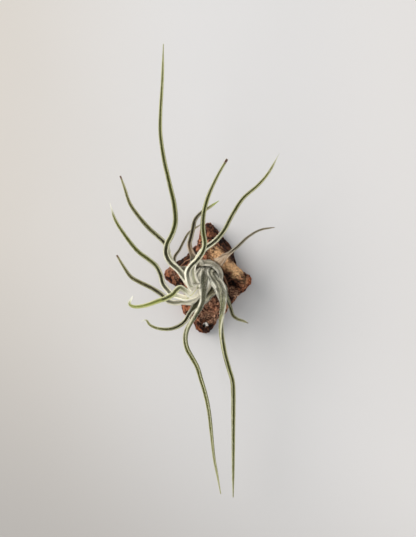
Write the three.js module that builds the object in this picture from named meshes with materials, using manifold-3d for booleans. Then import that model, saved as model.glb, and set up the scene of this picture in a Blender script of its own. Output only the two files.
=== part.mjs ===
// Air plant on a piece of cork bark, at its real size, lying on its flat back.
// Millimetres, +Z up. The origin is on the flat back of the bark, about under the middle of the plant.
// Fourteen rolled, channelled leaves and a young spear wrap each other at the foot in a bulb of
// broad sheaths, which sits on a short stem with wiry roots that grip the bark.

import * as THREE from "three";
import { mergeVertices } from "three/addons/utils/BufferGeometryUtils.js";
import { ImprovedNoise } from "three/addons/math/ImprovedNoise.js";
import Module from "manifold-3d";

const wasm = await Module();
wasm.setup();

// Clearances and walls
const CLEAR = 0.32;            // gap kept between two pieces that touch
const SHEATH_WALL = 0.7;       // thickness of a leaf where it wraps the bulb
const BLADE_WALL = 0.66;       // thickness of a leaf blade
const LAYER_STEP = 1.3;        // from one sheath of the bulb to the next one inside it

// The bulb: an egg shape that runs on into a short open neck, with its axis leaning to the lower left
const BULB_FOOT = new THREE.Vector3(3.6, 6.8, 18.7);
const BULB_AXIS = new THREE.Vector3(-0.375, -0.5, 0.781).normalize();
const BULB_RADIUS = 11;
const BULB_HALF_LENGTH = 12.5;
const BULB_CENTRE = BULB_FOOT.clone().addScaledVector(BULB_AXIS, BULB_HALF_LENGTH);
const NECK_RADIUS = 7.2;       // of the outermost sheath, where the bulb opens
const NECK_STEP = 1.08;        // from one sheath to the next one inside it, there
const NECK_LEAN = 0.6;         // how much the outside of the neck leans, against a closed egg's

// A turn of 0 degrees round the bulb looks to the upper right, and 90 degrees to the upper left
const TURN_SIDE = new THREE.Vector3(-0.8, 0.6, 0);
const TURN_ZERO = new THREE.Vector3().crossVectors(TURN_SIDE, BULB_AXIS).normalize();

// The stem and its roots
const STEM_RADIUS = 2.9;
const STEM_TIP_RADIUS = 1.9;
const STEM_BELOW = 3.5;        // how far the stem reaches below the foot of the bulb
const STEM_ABOVE = 8.5;        // and how far up into it
const STEM_AROUND = 16;
const ROOT_RADIUS = 0.6;
const ROOT_SIDES = 5;
const ROOT_TOP = 16.3;         // height at which the roots leave the stem

// The blade of a leaf is a trough: part of a tube, open on one side
const BLADE_RADIUS = 1.75;     // near the foot of the blade
const BLADE_MIDDLE_RADIUS = 1.5;
const TIP_RADIUS = 0.72;
const TIP_TAPER = 1.6;         // the higher, the later the blade grows slender
const BLADE_CURL = 2.05;       // half angle of the trough, in radians
const TIP_CURL = 1.15;
const TIP_OPENING = 4;         // the higher, the nearer to the tip the trough opens
const TWIST_STARTS = 2;        // the channel turns to where it looks from here along the blade
const SETTLES = 26;            // to here, unless a leaf says otherwise
const ACROSS = 5;              // flat facets across a leaf
const STATIONS = 24;           // along a leaf, unless it says otherwise
const TURN_WEIGHT = 0.13;      // how much a bend draws the stations of a leaf together
const CURVE_STEPS = 400;       // of the fine walk along a leaf's line
const SHEATH_POINTS = 5;       // steps of a leaf's line that lie on the bulb
const LEAST_SQUARE = 0.25;     // a sheath never counts as more oblique than this
const LEAST_INSIDE = 0.04;     // radius left inside the narrowest trough

// The young spear in the heart of the plant
const SPEAR_RADIUS = 0.75;
const SPEAR_LENGTH = 18;

// Roots: each is a run of places on the bark, in X and Y, that starts under the foot of the bulb
const ROOTS = [
  [[4.5, 7.5], [-1, 0], [-5, -10], [-3.5, -18.5], [1.5, -22.5], [6, -20.5]],
  [[5.5, 7.5], [10, 0.5], [12.5, -8], [8.5, -15.5]],
  [[3.5, 9], [-6, 12], [-13, 10.5], [-17.5, 6]],
  [[5, 9.5], [5, 15.5], [0, 24]],
];

// The bark, seen from above: its outline runs anticlockwise from the right-hand end
const BARK_OUTLINE = [
  [25.3, 1.8], [20.4, 3.3], [17.6, 9.6], [16.9, 13.9], [14.8, 18.1], [11.3, 23.7], [7.7, 26.6],
  [4.2, 30.8], [0.6, 34.3], [-2.5, 32.6], [-5.5, 27.4], [-5.6, 21.3], [-8.8, 19.2], [-12.3, 14.8],
  [-18.5, 9.9], [-24.6, 6.4], [-27.7, 2.2], [-25.8, -2.3], [-22, -4.2], [-15.4, -7.6], [-16, -15.8],
  [-15.4, -21.9], [-9, -28], [-7.8, -32], [-4.3, -34.4], [0.6, -34], [4.2, -29.2], [6.3, -25],
  [10.2, -22.8], [12, -19], [16.2, -15.6], [19.7, -10.3], [24.7, -6.8], [27.9, -1.9],
];
const BARK_AROUND = 60;
const BARK_ROWS_ON_TOP = 13;
const BARK_ROWS = 16;
const BARK_CROWDING = 0.9;     // below 1, the rows on top stand a little closer towards the rim
const BARK_BASE = 9;           // height of the lowest level of the bark
const BARK_RIM = 0.28;         // share of the height that is left at the rim
const BARK_EDGE = 7;           // the higher, the sharper the bark falls away at its rim
const BARK_BACK = 0.97;        // size of the flat back, as a share of the outline
const BARK_ROUGHNESS = 1.3;
const RELIEF_COARSE = 7;       // size of the large ridges and pits
const RELIEF_FINE = 3.1;
const FINE_SHARE = 0.6;        // depth of the small ridges, as a share of the large ones
const RELIEF_HEIGHT = 20;      // height over which the relief is read at the rim
// Swells and hollows of the bark: between two places, how wide they are, and how far up or down they go
const BARK_FORMS = [
  { from: [-6, -4], to: [6, 8], wide: 12, rise: 8.5 },      // the seat of the plant
  { from: [-2, 22], to: [22, -1], wide: 4.5, rise: 5 },     // under the smooth log
  { from: [-24, 3], to: [-19, 1.5], wide: 5, rise: 6 },     // the chunk at the left
  { from: [-2, 31], to: [3, 26], wide: 5, rise: 6 },        // the lobe at the top
  { from: [-5, -32], to: [-11, -21], wide: 4.5, rise: 6 },  // rims of the lobe at the bottom
  { from: [3, -27], to: [11, -17], wide: 3.6, rise: 6 },
  { from: [22, -6], to: [10, -19], wide: 3.2, rise: 4 },    // the ledge below the log
  { from: [14, -5], to: [16, -8], wide: 6, rise: -8 },      // the hollow below the log
  { from: [11, 20], to: [15, 14], wide: 4, rise: -4 },      // the flat step above the log
  { from: [-17, 11], to: [-13, 13], wide: 4, rise: -4 },
  { from: [3.5, -28], to: [1.5, -25], wide: 3.4, rise: -6 },
];
// The smooth log that lies across the bark, from its top left to its right-hand end
const LOG_ROUTE = [
  [-4, 25.5, 12], [1, 18.3, 16.5], [6.5, 12.6, 19], [12.3, 7, 20], [18.2, 2, 18], [25.2, -2.6, 13],
];
const LOG_RADIUS_LEFT = 5.4;
const LOG_RADIUS_RIGHT = 3.9;
const LOG_AROUND = 14;
const LOG_ROWS = 16;
const LOG_BLUNTNESS = 9;       // the higher, the blunter the ends of the log
// A worn hole goes right through the lobe at the bottom, wider at the back
const HOLE_AT = [-2, -29.3];
const HOLE_RADIUS = 0.9;
const HOLE_BACK_RADIUS = 1.44;
const HOLE_LENGTH = 40;
const FACET_ALLOWANCE = 1.015; // a faceted ball is this much smaller than a true one

const radians = THREE.MathUtils.degToRad;
const smooth = THREE.MathUtils.smoothstep;
const lerp = THREE.MathUtils.lerp;

// A closed three.js geometry as a solid that can be joined and cut
function solidOf(geometry) {
  const bare = geometry.clone();
  for (const name of Object.keys(bare.attributes)) {
    if (name !== "position") bare.deleteAttribute(name);
  }
  const merged = mergeVertices(bare, 1e-4);
  return new wasm.Manifold(new wasm.Mesh({
    numProp: 3,
    vertProperties: new Float32Array(merged.attributes.position.array),
    triVerts: new Uint32Array(merged.index.array),
  }));
}

// The solid's triangles as a three.js geometry
function geometryOf(solid) {
  const mesh = solid.getMesh();
  const geometry = new THREE.BufferGeometry();
  geometry.setAttribute("position", new THREE.BufferAttribute(mesh.vertProperties, 3));
  geometry.setIndex(new THREE.BufferAttribute(mesh.triVerts, 1));
  geometry.computeVertexNormals();
  return geometry;
}

// The largest body of a solid that a cut may have left in pieces
function largestOf(solid) {
  const bodies = solid.decompose();
  bodies.sort((a, b) => b.volume() - a.volume());
  return bodies[0];
}

// The direction straight out from the bulb's axis at a turn round it
function outward(turn) {
  return TURN_ZERO.clone().multiplyScalar(Math.cos(turn)).addScaledVector(TURN_SIDE, Math.sin(turn));
}

// A point on the sheath of a layer; rise is 0 at the foot of the bulb and 180 degrees at its neck
function onSheath(layer, turn, rise) {
  const radius = BULB_RADIUS - layer * LAYER_STEP;
  const neck = NECK_RADIUS - layer * NECK_STEP;
  const below = rise < Math.PI / 2;
  const half = below ? BULB_HALF_LENGTH - layer * LAYER_STEP : BULB_HALF_LENGTH;
  const out = below ? radius * Math.sin(rise) : lerp(neck, radius, Math.sin(rise));
  return BULB_CENTRE.clone()
    .addScaledVector(outward(turn), out)
    .addScaledVector(BULB_AXIS, -half * Math.cos(rise));
}

// Each leaf, outermost first. layer counts inward from the outside of the bulb, turn and spread are the
// middle and the half width of its sheath in degrees, and leaves is the rise where it parts from the bulb.
// narrows is the length over which the sheath becomes a blade. face is where the channel looks in the end,
// and settles is the length of leaf that the twist takes. route is the middle of the blade, by hand.
const GREEN = 0x8f9b78;
const PALE_GREEN = 0x9bb070;
const GREY_GREEN = 0x8b8f78;
const BROWN_GREY = 0x8d8069;
const WHITE_GREEN = 0xc3c8ae;
const ROOT_BROWN = 0x7a5a3c;
const CORK_BROWN = 0x6b4a35;
const LEAF_ROUGHNESS = 0.8;
const BARK_FINISH = 0.95;

const LEAVES = [
  {
    name: "leaf_08", layer: 0, turn: -10, spread: 36, leaves: 52, narrows: 10, lead: 3, size: 0.75,
    colour: BROWN_GREY,
    route: [
      [8.1, 9.9, 30.2], [10.3, 12.6, 31], [13.2, 15, 30.4], [18, 19, 31.5], [24, 24.5, 35], [31, 28.5, 38],
      [39.5, 30, 40],
    ],
  },
  {
    name: "leaf_10", layer: 0, turn: 118, spread: 42, leaves: 88, narrows: 9, lead: 10, size: 0.75,
    colour: GREY_GREEN,
    route: [
      [-13, 3.5, 25.8], [-17.5, 5.5, 26.5], [-20, 8.5, 27.5], [-20, 12.5, 29], [-17, 17, 30],
      [-14.5, 22, 31], [-11.5, 27, 32], [-8, 29.5, 33], [-4, 32, 34],
    ],
  },
  {
    name: "leaf_11", layer: 0, turn: 208, spread: 46, leaves: 118, narrows: 13, lead: 3, colour: GREEN,
    route: [
      [-6.3, -14.5, 31], [-8.5, -18, 32.5], [-10.8, -21, 33], [-13.5, -25.5, 33.5], [-17, -28.5, 34],
      [-23, -30.5, 35], [-30, -30, 36], [-34.5, -28, 36.5], [-37, -25, 37], [-40, -26, 37],
    ],
  },
  {
    name: "leaf_14", layer: 1, spread: 24, narrows: 12, size: 0.85, colour: GREEN,
    sheath: [[62, 20], [58, 50], [44, 78], [16, 76], [-16, 74], [-42, 79], [-60, 88]],
    route: [
      [9.3, -5.5, 31.5], [10.6, -10.5, 31], [12.3, -14.5, 31.5], [13.8, -19, 32], [15, -22.5, 32.5],
      [17.5, -24.5, 33], [20.5, -25.5, 33.5], [24, -27, 34],
    ],
  },
  {
    name: "leaf_04", layer: 1, turn: 178, spread: 42, leaves: 165, narrows: 11, lead: 9, colour: GREEN,
    route: [
      [-11, -12.8, 36.5], [-15, -14, 37], [-19.5, -14.8, 37], [-24, -13.5, 37], [-27.5, -10, 37],
      [-33.5, -6, 38], [-40.5, -2.5, 39], [-45.5, 0.5, 40], [-49.5, 6, 41], [-54, 13.5, 41],
    ],
  },
  {
    name: "leaf_09", layer: 2, turn: 62, spread: 42, leaves: 94, narrows: 10, lead: 12, size: 0.95,
    colour: GREY_GREEN,
    route: [
      [-7.3, 9.7, 33.5], [-8.6, 12.7, 35.5], [-10.3, 16.5, 37.5], [-11, 20, 38.7], [-10, 24.5, 40],
      [-9, 28.5, 41], [-7.5, 34.5, 42.5], [-4, 38.5, 43], [0.5, 41.5, 44], [6.5, 45.5, 45],
    ],
  },
  {
    name: "leaf_13", layer: 2, spread: 33, narrows: 24, stations: 28, colour: GREEN,
    sheath: [[-20, 24], [-20, 60], [-14, 90], [-10, 104]],
    face: [0.5, 0, 0.85], settles: 46,
    route: [
      [4.4, -1.2, 37.4], [6.6, -5, 37.8], [8.2, -10, 38], [8.9, -15, 38], [8.7, -20, 38.3], [8, -26, 38.8],
      [8, -32, 39.4], [9, -39.5, 40.2], [10.5, -47, 41], [12.5, -54, 41.5], [14.5, -61, 42], [15, -70, 42],
      [15, -79, 42], [15, -91, 41], [15, -103, 40], [15, -117, 38.5], [15, -130.5, 36.5],
    ],
  },
  {
    name: "leaf_02", layer: 3, turn: 97, spread: 38, leaves: 165, narrows: 11, lead: 9, colour: GREEN,
    route: [
      [-13, -0.3, 41], [-16.5, 4, 42.3], [-20.5, 8, 42.5], [-23, 12.5, 42], [-24, 17, 42],
      [-25.5, 20.5, 42.5], [-29.5, 24.5, 43.5], [-34.5, 29, 44.5], [-41, 36.5, 46], [-46, 44, 47],
      [-49, 53, 48], [-51.5, 60, 48],
    ],
  },
  {
    name: "leaf_12", layer: 3, turn: 12, spread: 34, leaves: 112, narrows: 21, stations: 28, colour: GREEN,
    face: [-0.7, 0.2, 0.7], settles: 50,
    route: [
      [-2.2, -0.7, 41], [-2.7, -5.4, 43], [-2.8, -9.5, 43.6], [-3.4, -14, 43.6], [-5.5, -18.5, 43.3],
      [-9.7, -25, 42.5], [-12.4, -30, 42], [-13.5, -35.5, 42], [-12.5, -41.5, 42], [-9.5, -47, 42.5],
      [-6.5, -52.5, 42.5], [-4, -60.5, 42.5], [-1.5, -69, 42.5], [0.5, -79, 42], [2, -92.5, 41],
      [3.5, -106.5, 39.5], [5.5, -117.5, 38], [7.5, -128.5, 36.5],
    ],
  },
  {
    name: "leaf_03", layer: 3, turn: 181, spread: 40, leaves: 165, narrows: 11, lead: 9, colour: GREEN,
    route: [
      [-11, -11, 39.5], [-13.5, -12, 42.5], [-17, -11, 43.3], [-21.5, -9.5, 43], [-24, -7, 43],
      [-26.5, -3.5, 43], [-28, 2, 44], [-30.5, 7, 45], [-35, 11, 46], [-41, 15.5, 47], [-49, 25.5, 49],
      [-54.5, 34.5, 50], [-57.5, 44, 50],
    ],
  },
  {
    name: "leaf_07", layer: 4, turn: 40, spread: 36, leaves: 160, narrows: 16, lead: 6, colour: GREEN,
    route: [
      [-7.3, -2.6, 43], [-8.9, 1, 45.5], [-9, 5, 46.6], [-8, 8.3, 47], [-6.3, 11, 47.2], [-4, 15, 47.3],
      [-1, 18, 47.4], [2, 20, 47.5], [5.5, 23, 48.5], [9.5, 28, 50], [14, 36.5, 52], [20.5, 46.5, 54],
      [29, 54, 55], [35, 61, 56], [41.5, 72.5, 56],
    ],
  },
  {
    name: "leaf_01", layer: 4, turn: 118, spread: 38, leaves: 165, narrows: 10, lead: 9, colour: GREEN,
    route: [
      [-11.3, -3.8, 43.3], [-14.3, 0.6, 47.3], [-17.5, 5, 50], [-22, 9, 51], [-24.5, 14, 51],
      [-24, 19.5, 52], [-21, 25.5, 54], [-19, 32.5, 56], [-19.5, 42, 58], [-22, 53.5, 60], [-25.5, 69, 61],
      [-27.5, 83.5, 61], [-27.5, 95.5, 60], [-26.5, 115, 57.5], [-26, 136.5, 54],
    ],
  },
  {
    name: "leaf_06", layer: 5, turn: 72, spread: 38, leaves: 165, narrows: 10, lead: 9, colour: GREEN,
    face: [0.4, -0.1, 0.9],
    route: [
      [-8.6, -5.6, 43.8], [-10.2, -4.9, 48], [-11.6, -1, 52], [-12, 3.5, 54.5], [-10, 7, 56],
      [-6.5, 10.5, 58], [-3.5, 14.5, 60], [-2, 19.5, 62], [-3, 28.5, 65], [-2.5, 37, 67], [0, 46.5, 69],
      [5.5, 58.5, 71], [11, 68, 72],
    ],
  },
  {
    name: "leaf_05", layer: 5, turn: 165, spread: 38, leaves: 165, narrows: 14, lead: 9, colour: PALE_GREEN,
    route: [
      [-9.4, -9.8, 42.5], [-10.9, -9.8, 47.5], [-13.5, -7.3, 51.5], [-16.3, -5.6, 54.5], [-18.3, -7, 56.5],
      [-20.5, -9.5, 57.5], [-24, -11.5, 57.5], [-29.5, -13.5, 57.5], [-37, -16, 58], [-43, -16.5, 58.5],
      [-45.5, -15, 59], [-43.5, -10.5, 60],
    ],
  },
];

// Where a sheath starts, just clear of the stem
function firstRise(layer) {
  return Math.asin((STEM_RADIUS + CLEAR) / (BULB_RADIUS - layer * LAYER_STEP));
}

// The places of a leaf's sheath on the bulb, as turn and rise in radians
function sheathPlaces(leaf) {
  if (leaf.sheath) return leaf.sheath.map(([turn, rise]) => [radians(turn), radians(rise)]);
  const start = firstRise(leaf.layer);
  const places = [];
  for (let i = 0; i <= SHEATH_POINTS; i++) {
    places.push([radians(leaf.turn), lerp(start, radians(leaf.leaves), i / SHEATH_POINTS)]);
  }
  return places;
}

// The line that a leaf follows: up its sheath and along its blade
function leafLine(leaf) {
  const points = sheathPlaces(leaf).map(([turn, rise]) => onSheath(leaf.layer, turn, rise));
  const sheathEnd = points.length - 1;
  for (const place of leaf.route) points.push(new THREE.Vector3(...place));
  const curve = new THREE.CatmullRomCurve3(points, false, "centripetal");
  curve.arcLengthDivisions = CURVE_STEPS;
  return { curve, partsAt: arcShare(curve, sheathEnd / (points.length - 1)) };
}

// The direction straight out of the bulb at a point near its surface; towards the neck it leans less
function bulbNormal(point) {
  const from = point.clone().sub(BULB_CENTRE);
  const along = from.dot(BULB_AXIS);
  const lean = (BULB_RADIUS / BULB_HALF_LENGTH) ** 2 * (along > 0 ? NECK_LEAN : 1);
  return from.addScaledVector(BULB_AXIS, along * (lean - 1)).normalize();
}

// The share of a curve's length at one of its own parameters
function arcShare(curve, parameter) {
  const lengths = curve.getLengths();
  const index = Math.round(parameter * (lengths.length - 1));
  return lengths[index] / lengths[lengths.length - 1];
}

// Shares of the length where a leaf has its stations, closer together where it bends
function stationShares(curve, count) {
  const effort = [0];
  let before = curve.getTangentAt(0);
  for (let i = 1; i <= CURVE_STEPS; i++) {
    const tangent = curve.getTangentAt(i / CURVE_STEPS);
    effort.push(effort[i - 1] + 1 / CURVE_STEPS + TURN_WEIGHT * tangent.angleTo(before));
    before = tangent;
  }
  const shares = [];
  let index = 0;
  for (let k = 0; k < count; k++) {
    const wanted = effort[CURVE_STEPS] * k / count;
    while (effort[index + 1] < wanted) index++;
    const part = (wanted - effort[index]) / (effort[index + 1] - effort[index]);
    shares.push((index + part) / CURVE_STEPS);
  }
  return [...shares, 1];
}

// Frames along a leaf: the back of the leaf looks along normal
function leafFrames(leaf, shares, curve, partsAt) {
  const length = curve.getLength();
  const wish = new THREE.Vector3(...(leaf.face ?? [0, 0, 1])).normalize().negate();
  const backs = [];
  let normal = bulbNormal(curve.getPointAt(0));
  let angleBefore = 0;
  for (let i = 0; i <= CURVE_STEPS; i++) {
    const share = i / CURVE_STEPS;
    const tangent = curve.getTangentAt(share);
    if (share <= partsAt) normal = bulbNormal(curve.getPointAt(share));
    normal = normal.clone().addScaledVector(tangent, -normal.dot(tangent)).normalize();
    const side = new THREE.Vector3().crossVectors(normal, tangent);
    let angle = Math.atan2(wish.dot(side), wish.dot(normal));
    if (share > partsAt) {
      angle -= 2 * Math.PI * Math.round((angle - angleBefore) / (2 * Math.PI));
    }
    angleBefore = angle;
    const turned = angle * smooth((share - partsAt) * length, TWIST_STARTS, leaf.settles ?? SETTLES);
    backs.push(normal.clone().multiplyScalar(Math.cos(turned)).addScaledVector(side, Math.sin(turned)));
  }
  return shares.map((share) => {
    const tangent = curve.getTangentAt(share);
    const back = backs[Math.round(share * CURVE_STEPS)].clone();
    back.addScaledVector(tangent, -back.dot(tangent)).normalize();
    return { at: curve.getPointAt(share), tangent, back, away: (share - partsAt) * length };
  });
}

// How the sheath curves round the bulb at a point: its radius, and how squarely it faces outward
function sheathCurve(point, back) {
  const fromFoot = point.clone().sub(BULB_FOOT);
  const out = fromFoot.addScaledVector(BULB_AXIS, -fromFoot.dot(BULB_AXIS));
  const radius = out.length();
  const square = Math.max(LEAST_SQUARE, out.normalize().dot(back));
  return { radius: radius / square, square };
}

// The radius of a blade at a share of its length
function bladeRadius(size, along) {
  if (along < 0.5) return size * lerp(BLADE_RADIUS, BLADE_MIDDLE_RADIUS, along * 2);
  return lerp(size * BLADE_MIDDLE_RADIUS, TIP_RADIUS, Math.pow(along * 2 - 1, TIP_TAPER));
}

// The stations of a leaf with their trough: its radius, its half angle and where its middle lies
function leafStations(leaf, count) {
  const { curve, partsAt } = leafLine(leaf);
  const stations = leafFrames(leaf, stationShares(curve, count), curve, partsAt);
  const bladeLength = curve.getLength() * (1 - partsAt);
  const spread = Math.tan(radians(leaf.spread));
  let sheath = null;
  for (const station of stations) {
    if (station.away <= 0 || !sheath) sheath = sheathCurve(station.at, station.back);
    const sheathAngle = Math.atan(spread * sheath.square);
    const narrowing = smooth(station.away, -(leaf.lead ?? 0), leaf.narrows);
    const change = smooth(station.away, 0, leaf.narrows);
    const along = Math.max(0, station.away / bladeLength);
    const blade = bladeRadius(leaf.size ?? 1, along);
    const bladeHalf = blade * lerp(BLADE_CURL, TIP_CURL, Math.pow(along, TIP_OPENING));
    const half = Math.pow(sheath.radius * sheathAngle, 1 - narrowing) * Math.pow(bladeHalf, narrowing);
    station.radius = Math.pow(sheath.radius, 1 - change) * Math.pow(blade, change);
    station.curl = Math.min(half / station.radius, lerp(sheathAngle, BLADE_CURL, change));
    station.wall = lerp(SHEATH_WALL, BLADE_WALL, change);
    station.centred = change;
  }
  return stations;
}

// A leaf as a solid; grow makes it larger all round, to cut its clearance from a neighbour
function leafSolid(leaf, grow = 0) {
  const count = leaf.stations ?? STATIONS;
  const stations = leafStations(leaf, count);
  const geometry = new THREE.BoxGeometry(1, 1, 1, ACROSS, 1, count);
  const position = geometry.attributes.position;
  const point = new THREE.Vector3();
  for (let i = 0; i < position.count; i++) {
    const index = Math.round((position.getZ(i) + 0.5) * count);
    const station = stations[index];
    const side = new THREE.Vector3().crossVectors(station.back, station.tangent);
    const angle = 2 * position.getX(i) * (station.curl + grow / station.radius);
    const inside = Math.max(LEAST_INSIDE, station.radius - station.wall - grow);
    const reach = position.getY(i) > 0 ? station.radius + grow : inside;
    const ends = index === 0 ? -grow : index === count ? grow : 0;
    point.copy(station.at)
      .addScaledVector(station.back, -station.radius * (1 - station.centred))
      .addScaledVector(station.back, Math.cos(angle) * reach)
      .addScaledVector(side, Math.sin(angle) * reach)
      .addScaledVector(station.tangent, ends);
    position.setXYZ(i, point.x, point.y, point.z);
  }
  return solidOf(geometry);
}

// A rod of a few sides along a curve, with closed ends
function rodSolid(points, radius, steps, sides = 6) {
  const section = new THREE.Shape();
  for (let i = 0; i < sides; i++) {
    const angle = 2 * Math.PI * i / sides;
    section[i ? "lineTo" : "moveTo"](radius * Math.cos(angle), radius * Math.sin(angle));
  }
  section.closePath();
  const path = new THREE.CatmullRomCurve3(points, false, "centripetal");
  return solidOf(new THREE.ExtrudeGeometry(section, { extrudePath: path, steps, bevelEnabled: false }));
}

// Puts a solid that is made along +Y on the bulb's axis, with its zero at the foot of the bulb
function alongBulb(geometry) {
  const turn = new THREE.Quaternion().setFromUnitVectors(new THREE.Vector3(0, 1, 0), BULB_AXIS);
  return geometry.clone().applyQuaternion(turn).translate(...BULB_FOOT.toArray());
}

// Height of the bark at a place, before its edge falls away and without the fine relief
function barkHeight(x, y) {
  let height = BARK_BASE;
  for (const form of BARK_FORMS) {
    const from = new THREE.Vector2(...form.from);
    const line = new THREE.Vector2(...form.to).sub(from);
    const place = new THREE.Vector2(x, y).sub(from);
    const share = THREE.MathUtils.clamp(place.dot(line) / line.lengthSq(), 0, 1);
    const away = place.addScaledVector(line, -share).length();
    height += form.rise * Math.exp(-Math.pow(away / form.wide, 2));
  }
  return height;
}

const noise = new ImprovedNoise();

// Rough relief: ridges and pits of two sizes
function relief(x, y, z) {
  const ridges = (size, shift) => noise.noise(x / size + shift, y / size + 2 * shift, z / size + shift);
  return ridges(RELIEF_COARSE, 3.1) + FINE_SHARE * ridges(RELIEF_FINE, 5.8);
}

// How far from the middle to the rim a row of the bark lies: out on top, past the rim, and in at the back
function barkReach(row) {
  if (row <= BARK_ROWS_ON_TOP) return Math.pow(row / BARK_ROWS_ON_TOP, BARK_CROWDING);
  if (row === BARK_ROWS_ON_TOP + 1) return BARK_BACK;
  return BARK_BACK * (BARK_ROWS - row) / (BARK_ROWS - BARK_ROWS_ON_TOP);
}

// The bark without its log: a ball whose rows are laid out on top and under the flat back
function barkBody() {
  const outline = new THREE.CatmullRomCurve3(
    BARK_OUTLINE.map(([x, y]) => new THREE.Vector3(x, y, 0)), true, "centripetal");
  const geometry = new THREE.SphereGeometry(1, BARK_AROUND, BARK_ROWS);
  const { position, uv } = geometry.attributes;
  for (let i = 0; i < position.count; i++) {
    const row = Math.round((1 - uv.getY(i)) * BARK_ROWS);
    const rim = outline.getPointAt(((uv.getX(i) % 1) + 1) % 1);
    const reach = barkReach(row);
    const x = rim.x * reach;
    const y = rim.y * reach;
    if (row > BARK_ROWS_ON_TOP) {
      position.setXYZ(i, x, y, 0);
      continue;
    }
    const edge = lerp(BARK_RIM, 1, Math.sqrt(1 - Math.pow(reach, BARK_EDGE)));
    const rough = BARK_ROUGHNESS * relief(x, y, edge * RELIEF_HEIGHT);
    const grown = 1 + reach * rough / rim.length();
    position.setXYZ(i, x * grown, y * grown, (barkHeight(x, y) + rough) * edge);
  }
  return solidOf(geometry);
}

// The smooth log: a ball drawn out along its route
function barkLog() {
  const curve = new THREE.CatmullRomCurve3(LOG_ROUTE.map((p) => new THREE.Vector3(...p)));
  const geometry = new THREE.SphereGeometry(1, LOG_AROUND, LOG_ROWS);
  const { position, uv } = geometry.attributes;
  const up = new THREE.Vector3(0, 0, 1);
  for (let i = 0; i < position.count; i++) {
    const share = 1 - uv.getY(i);
    const at = curve.getPointAt(share);
    const tangent = curve.getTangentAt(share);
    const side = new THREE.Vector3().crossVectors(up, tangent).normalize();
    const top = new THREE.Vector3().crossVectors(tangent, side);
    const angle = 2 * Math.PI * uv.getX(i);
    const rounding = Math.sqrt(Math.max(0, 1 - Math.pow(Math.abs(2 * share - 1), LOG_BLUNTNESS)));
    const size = lerp(LOG_RADIUS_LEFT, LOG_RADIUS_RIGHT, smooth(share, 0.1, 0.7));
    const bump = relief(at.x + size * Math.cos(angle), at.y, at.z + size * Math.sin(angle));
    const radius = rounding * (size + 0.5 * BARK_ROUGHNESS * bump);
    at.addScaledVector(side, radius * Math.sin(angle)).addScaledVector(top, radius * Math.cos(angle));
    position.setXYZ(i, at.x, at.y, at.z);
  }
  return solidOf(geometry);
}

// The space that the bulb needs in the bark
function bulbSpace() {
  const geometry = new THREE.SphereGeometry(1, 22, 14);
  geometry.scale(BULB_RADIUS + CLEAR, BULB_HALF_LENGTH + CLEAR, BULB_RADIUS + CLEAR);
  geometry.scale(FACET_ALLOWANCE, FACET_ALLOWANCE, FACET_ALLOWANCE);
  return solidOf(alongBulb(geometry.translate(0, BULB_HALF_LENGTH, 0)));
}

// The middle of a root, laid in the bark and kept clear below the bulb
function rootPoints(places) {
  return places.map(([x, y], index) => {
    if (index === 0) return new THREE.Vector3(x, y, ROOT_TOP);
    const onBark = barkHeight(x, y) + 0.1 * ROOT_RADIUS;
    const depth = BULB_HALF_LENGTH ** 2 - (x - BULB_CENTRE.x) ** 2 - (y - BULB_CENTRE.y) ** 2;
    if (depth < 0) return new THREE.Vector3(x, y, onBark);
    const underBulb = BULB_CENTRE.z - Math.sqrt(depth) - ROOT_RADIUS - 2 * CLEAR;
    return new THREE.Vector3(x, y, Math.min(onBark, underBulb));
  });
}

// The stem stands in the foot of the bulb, with a chamfer at each end, and the roots grow from it
function stemAndRoots(grow = 0) {
  const low = -STEM_BELOW - grow;
  const high = STEM_ABOVE + grow;
  const profile = [
    [0, low],
    [STEM_RADIUS * 0.8 + grow, low],
    [STEM_RADIUS + grow, low + 1.5],
    [STEM_RADIUS + grow, 1],
    [STEM_TIP_RADIUS + grow, high - 1],
    [STEM_TIP_RADIUS * 0.6, high],
    [0, high],
  ].map(([r, y]) => new THREE.Vector2(r, y));
  let solid = solidOf(alongBulb(new THREE.LatheGeometry(profile, STEM_AROUND)));
  for (const places of ROOTS) {
    solid = solid.add(rodSolid(rootPoints(places), ROOT_RADIUS + grow, 2 * places.length, ROOT_SIDES));
  }
  return solid;
}

// The young spear stands in the heart, just above the stem
function spear(grow = 0) {
  const start = STEM_ABOVE + CLEAR;
  const points = [0, 0.4, 0.8, 1].map((share) => BULB_FOOT.clone()
    .addScaledVector(BULB_AXIS, start - grow + (SPEAR_LENGTH + 2 * grow) * share));
  return rodSolid(points, SPEAR_RADIUS + grow, 4);
}

// The bark, with the seat of the bulb, the grooves of the roots and the worn hole cut into it
function corkBark() {
  const hole = new THREE.CylinderGeometry(HOLE_RADIUS, HOLE_BACK_RADIUS, HOLE_LENGTH, 8);
  hole.rotateX(Math.PI / 2).translate(...HOLE_AT, 0);
  const whole = barkBody().add(barkLog());
  return largestOf(whole.subtract(bulbSpace()).subtract(stemAndRoots(CLEAR)).subtract(solidOf(hole)));
}

const plant = new THREE.Group();
plant.name = "air_plant_on_bark";

function addPiece(name, solid, colour, roughness) {
  const material = new THREE.MeshStandardMaterial({ color: colour, roughness, metalness: 0 });
  const mesh = new THREE.Mesh(geometryOf(solid), material);
  mesh.name = name;
  plant.add(mesh);
}

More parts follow.
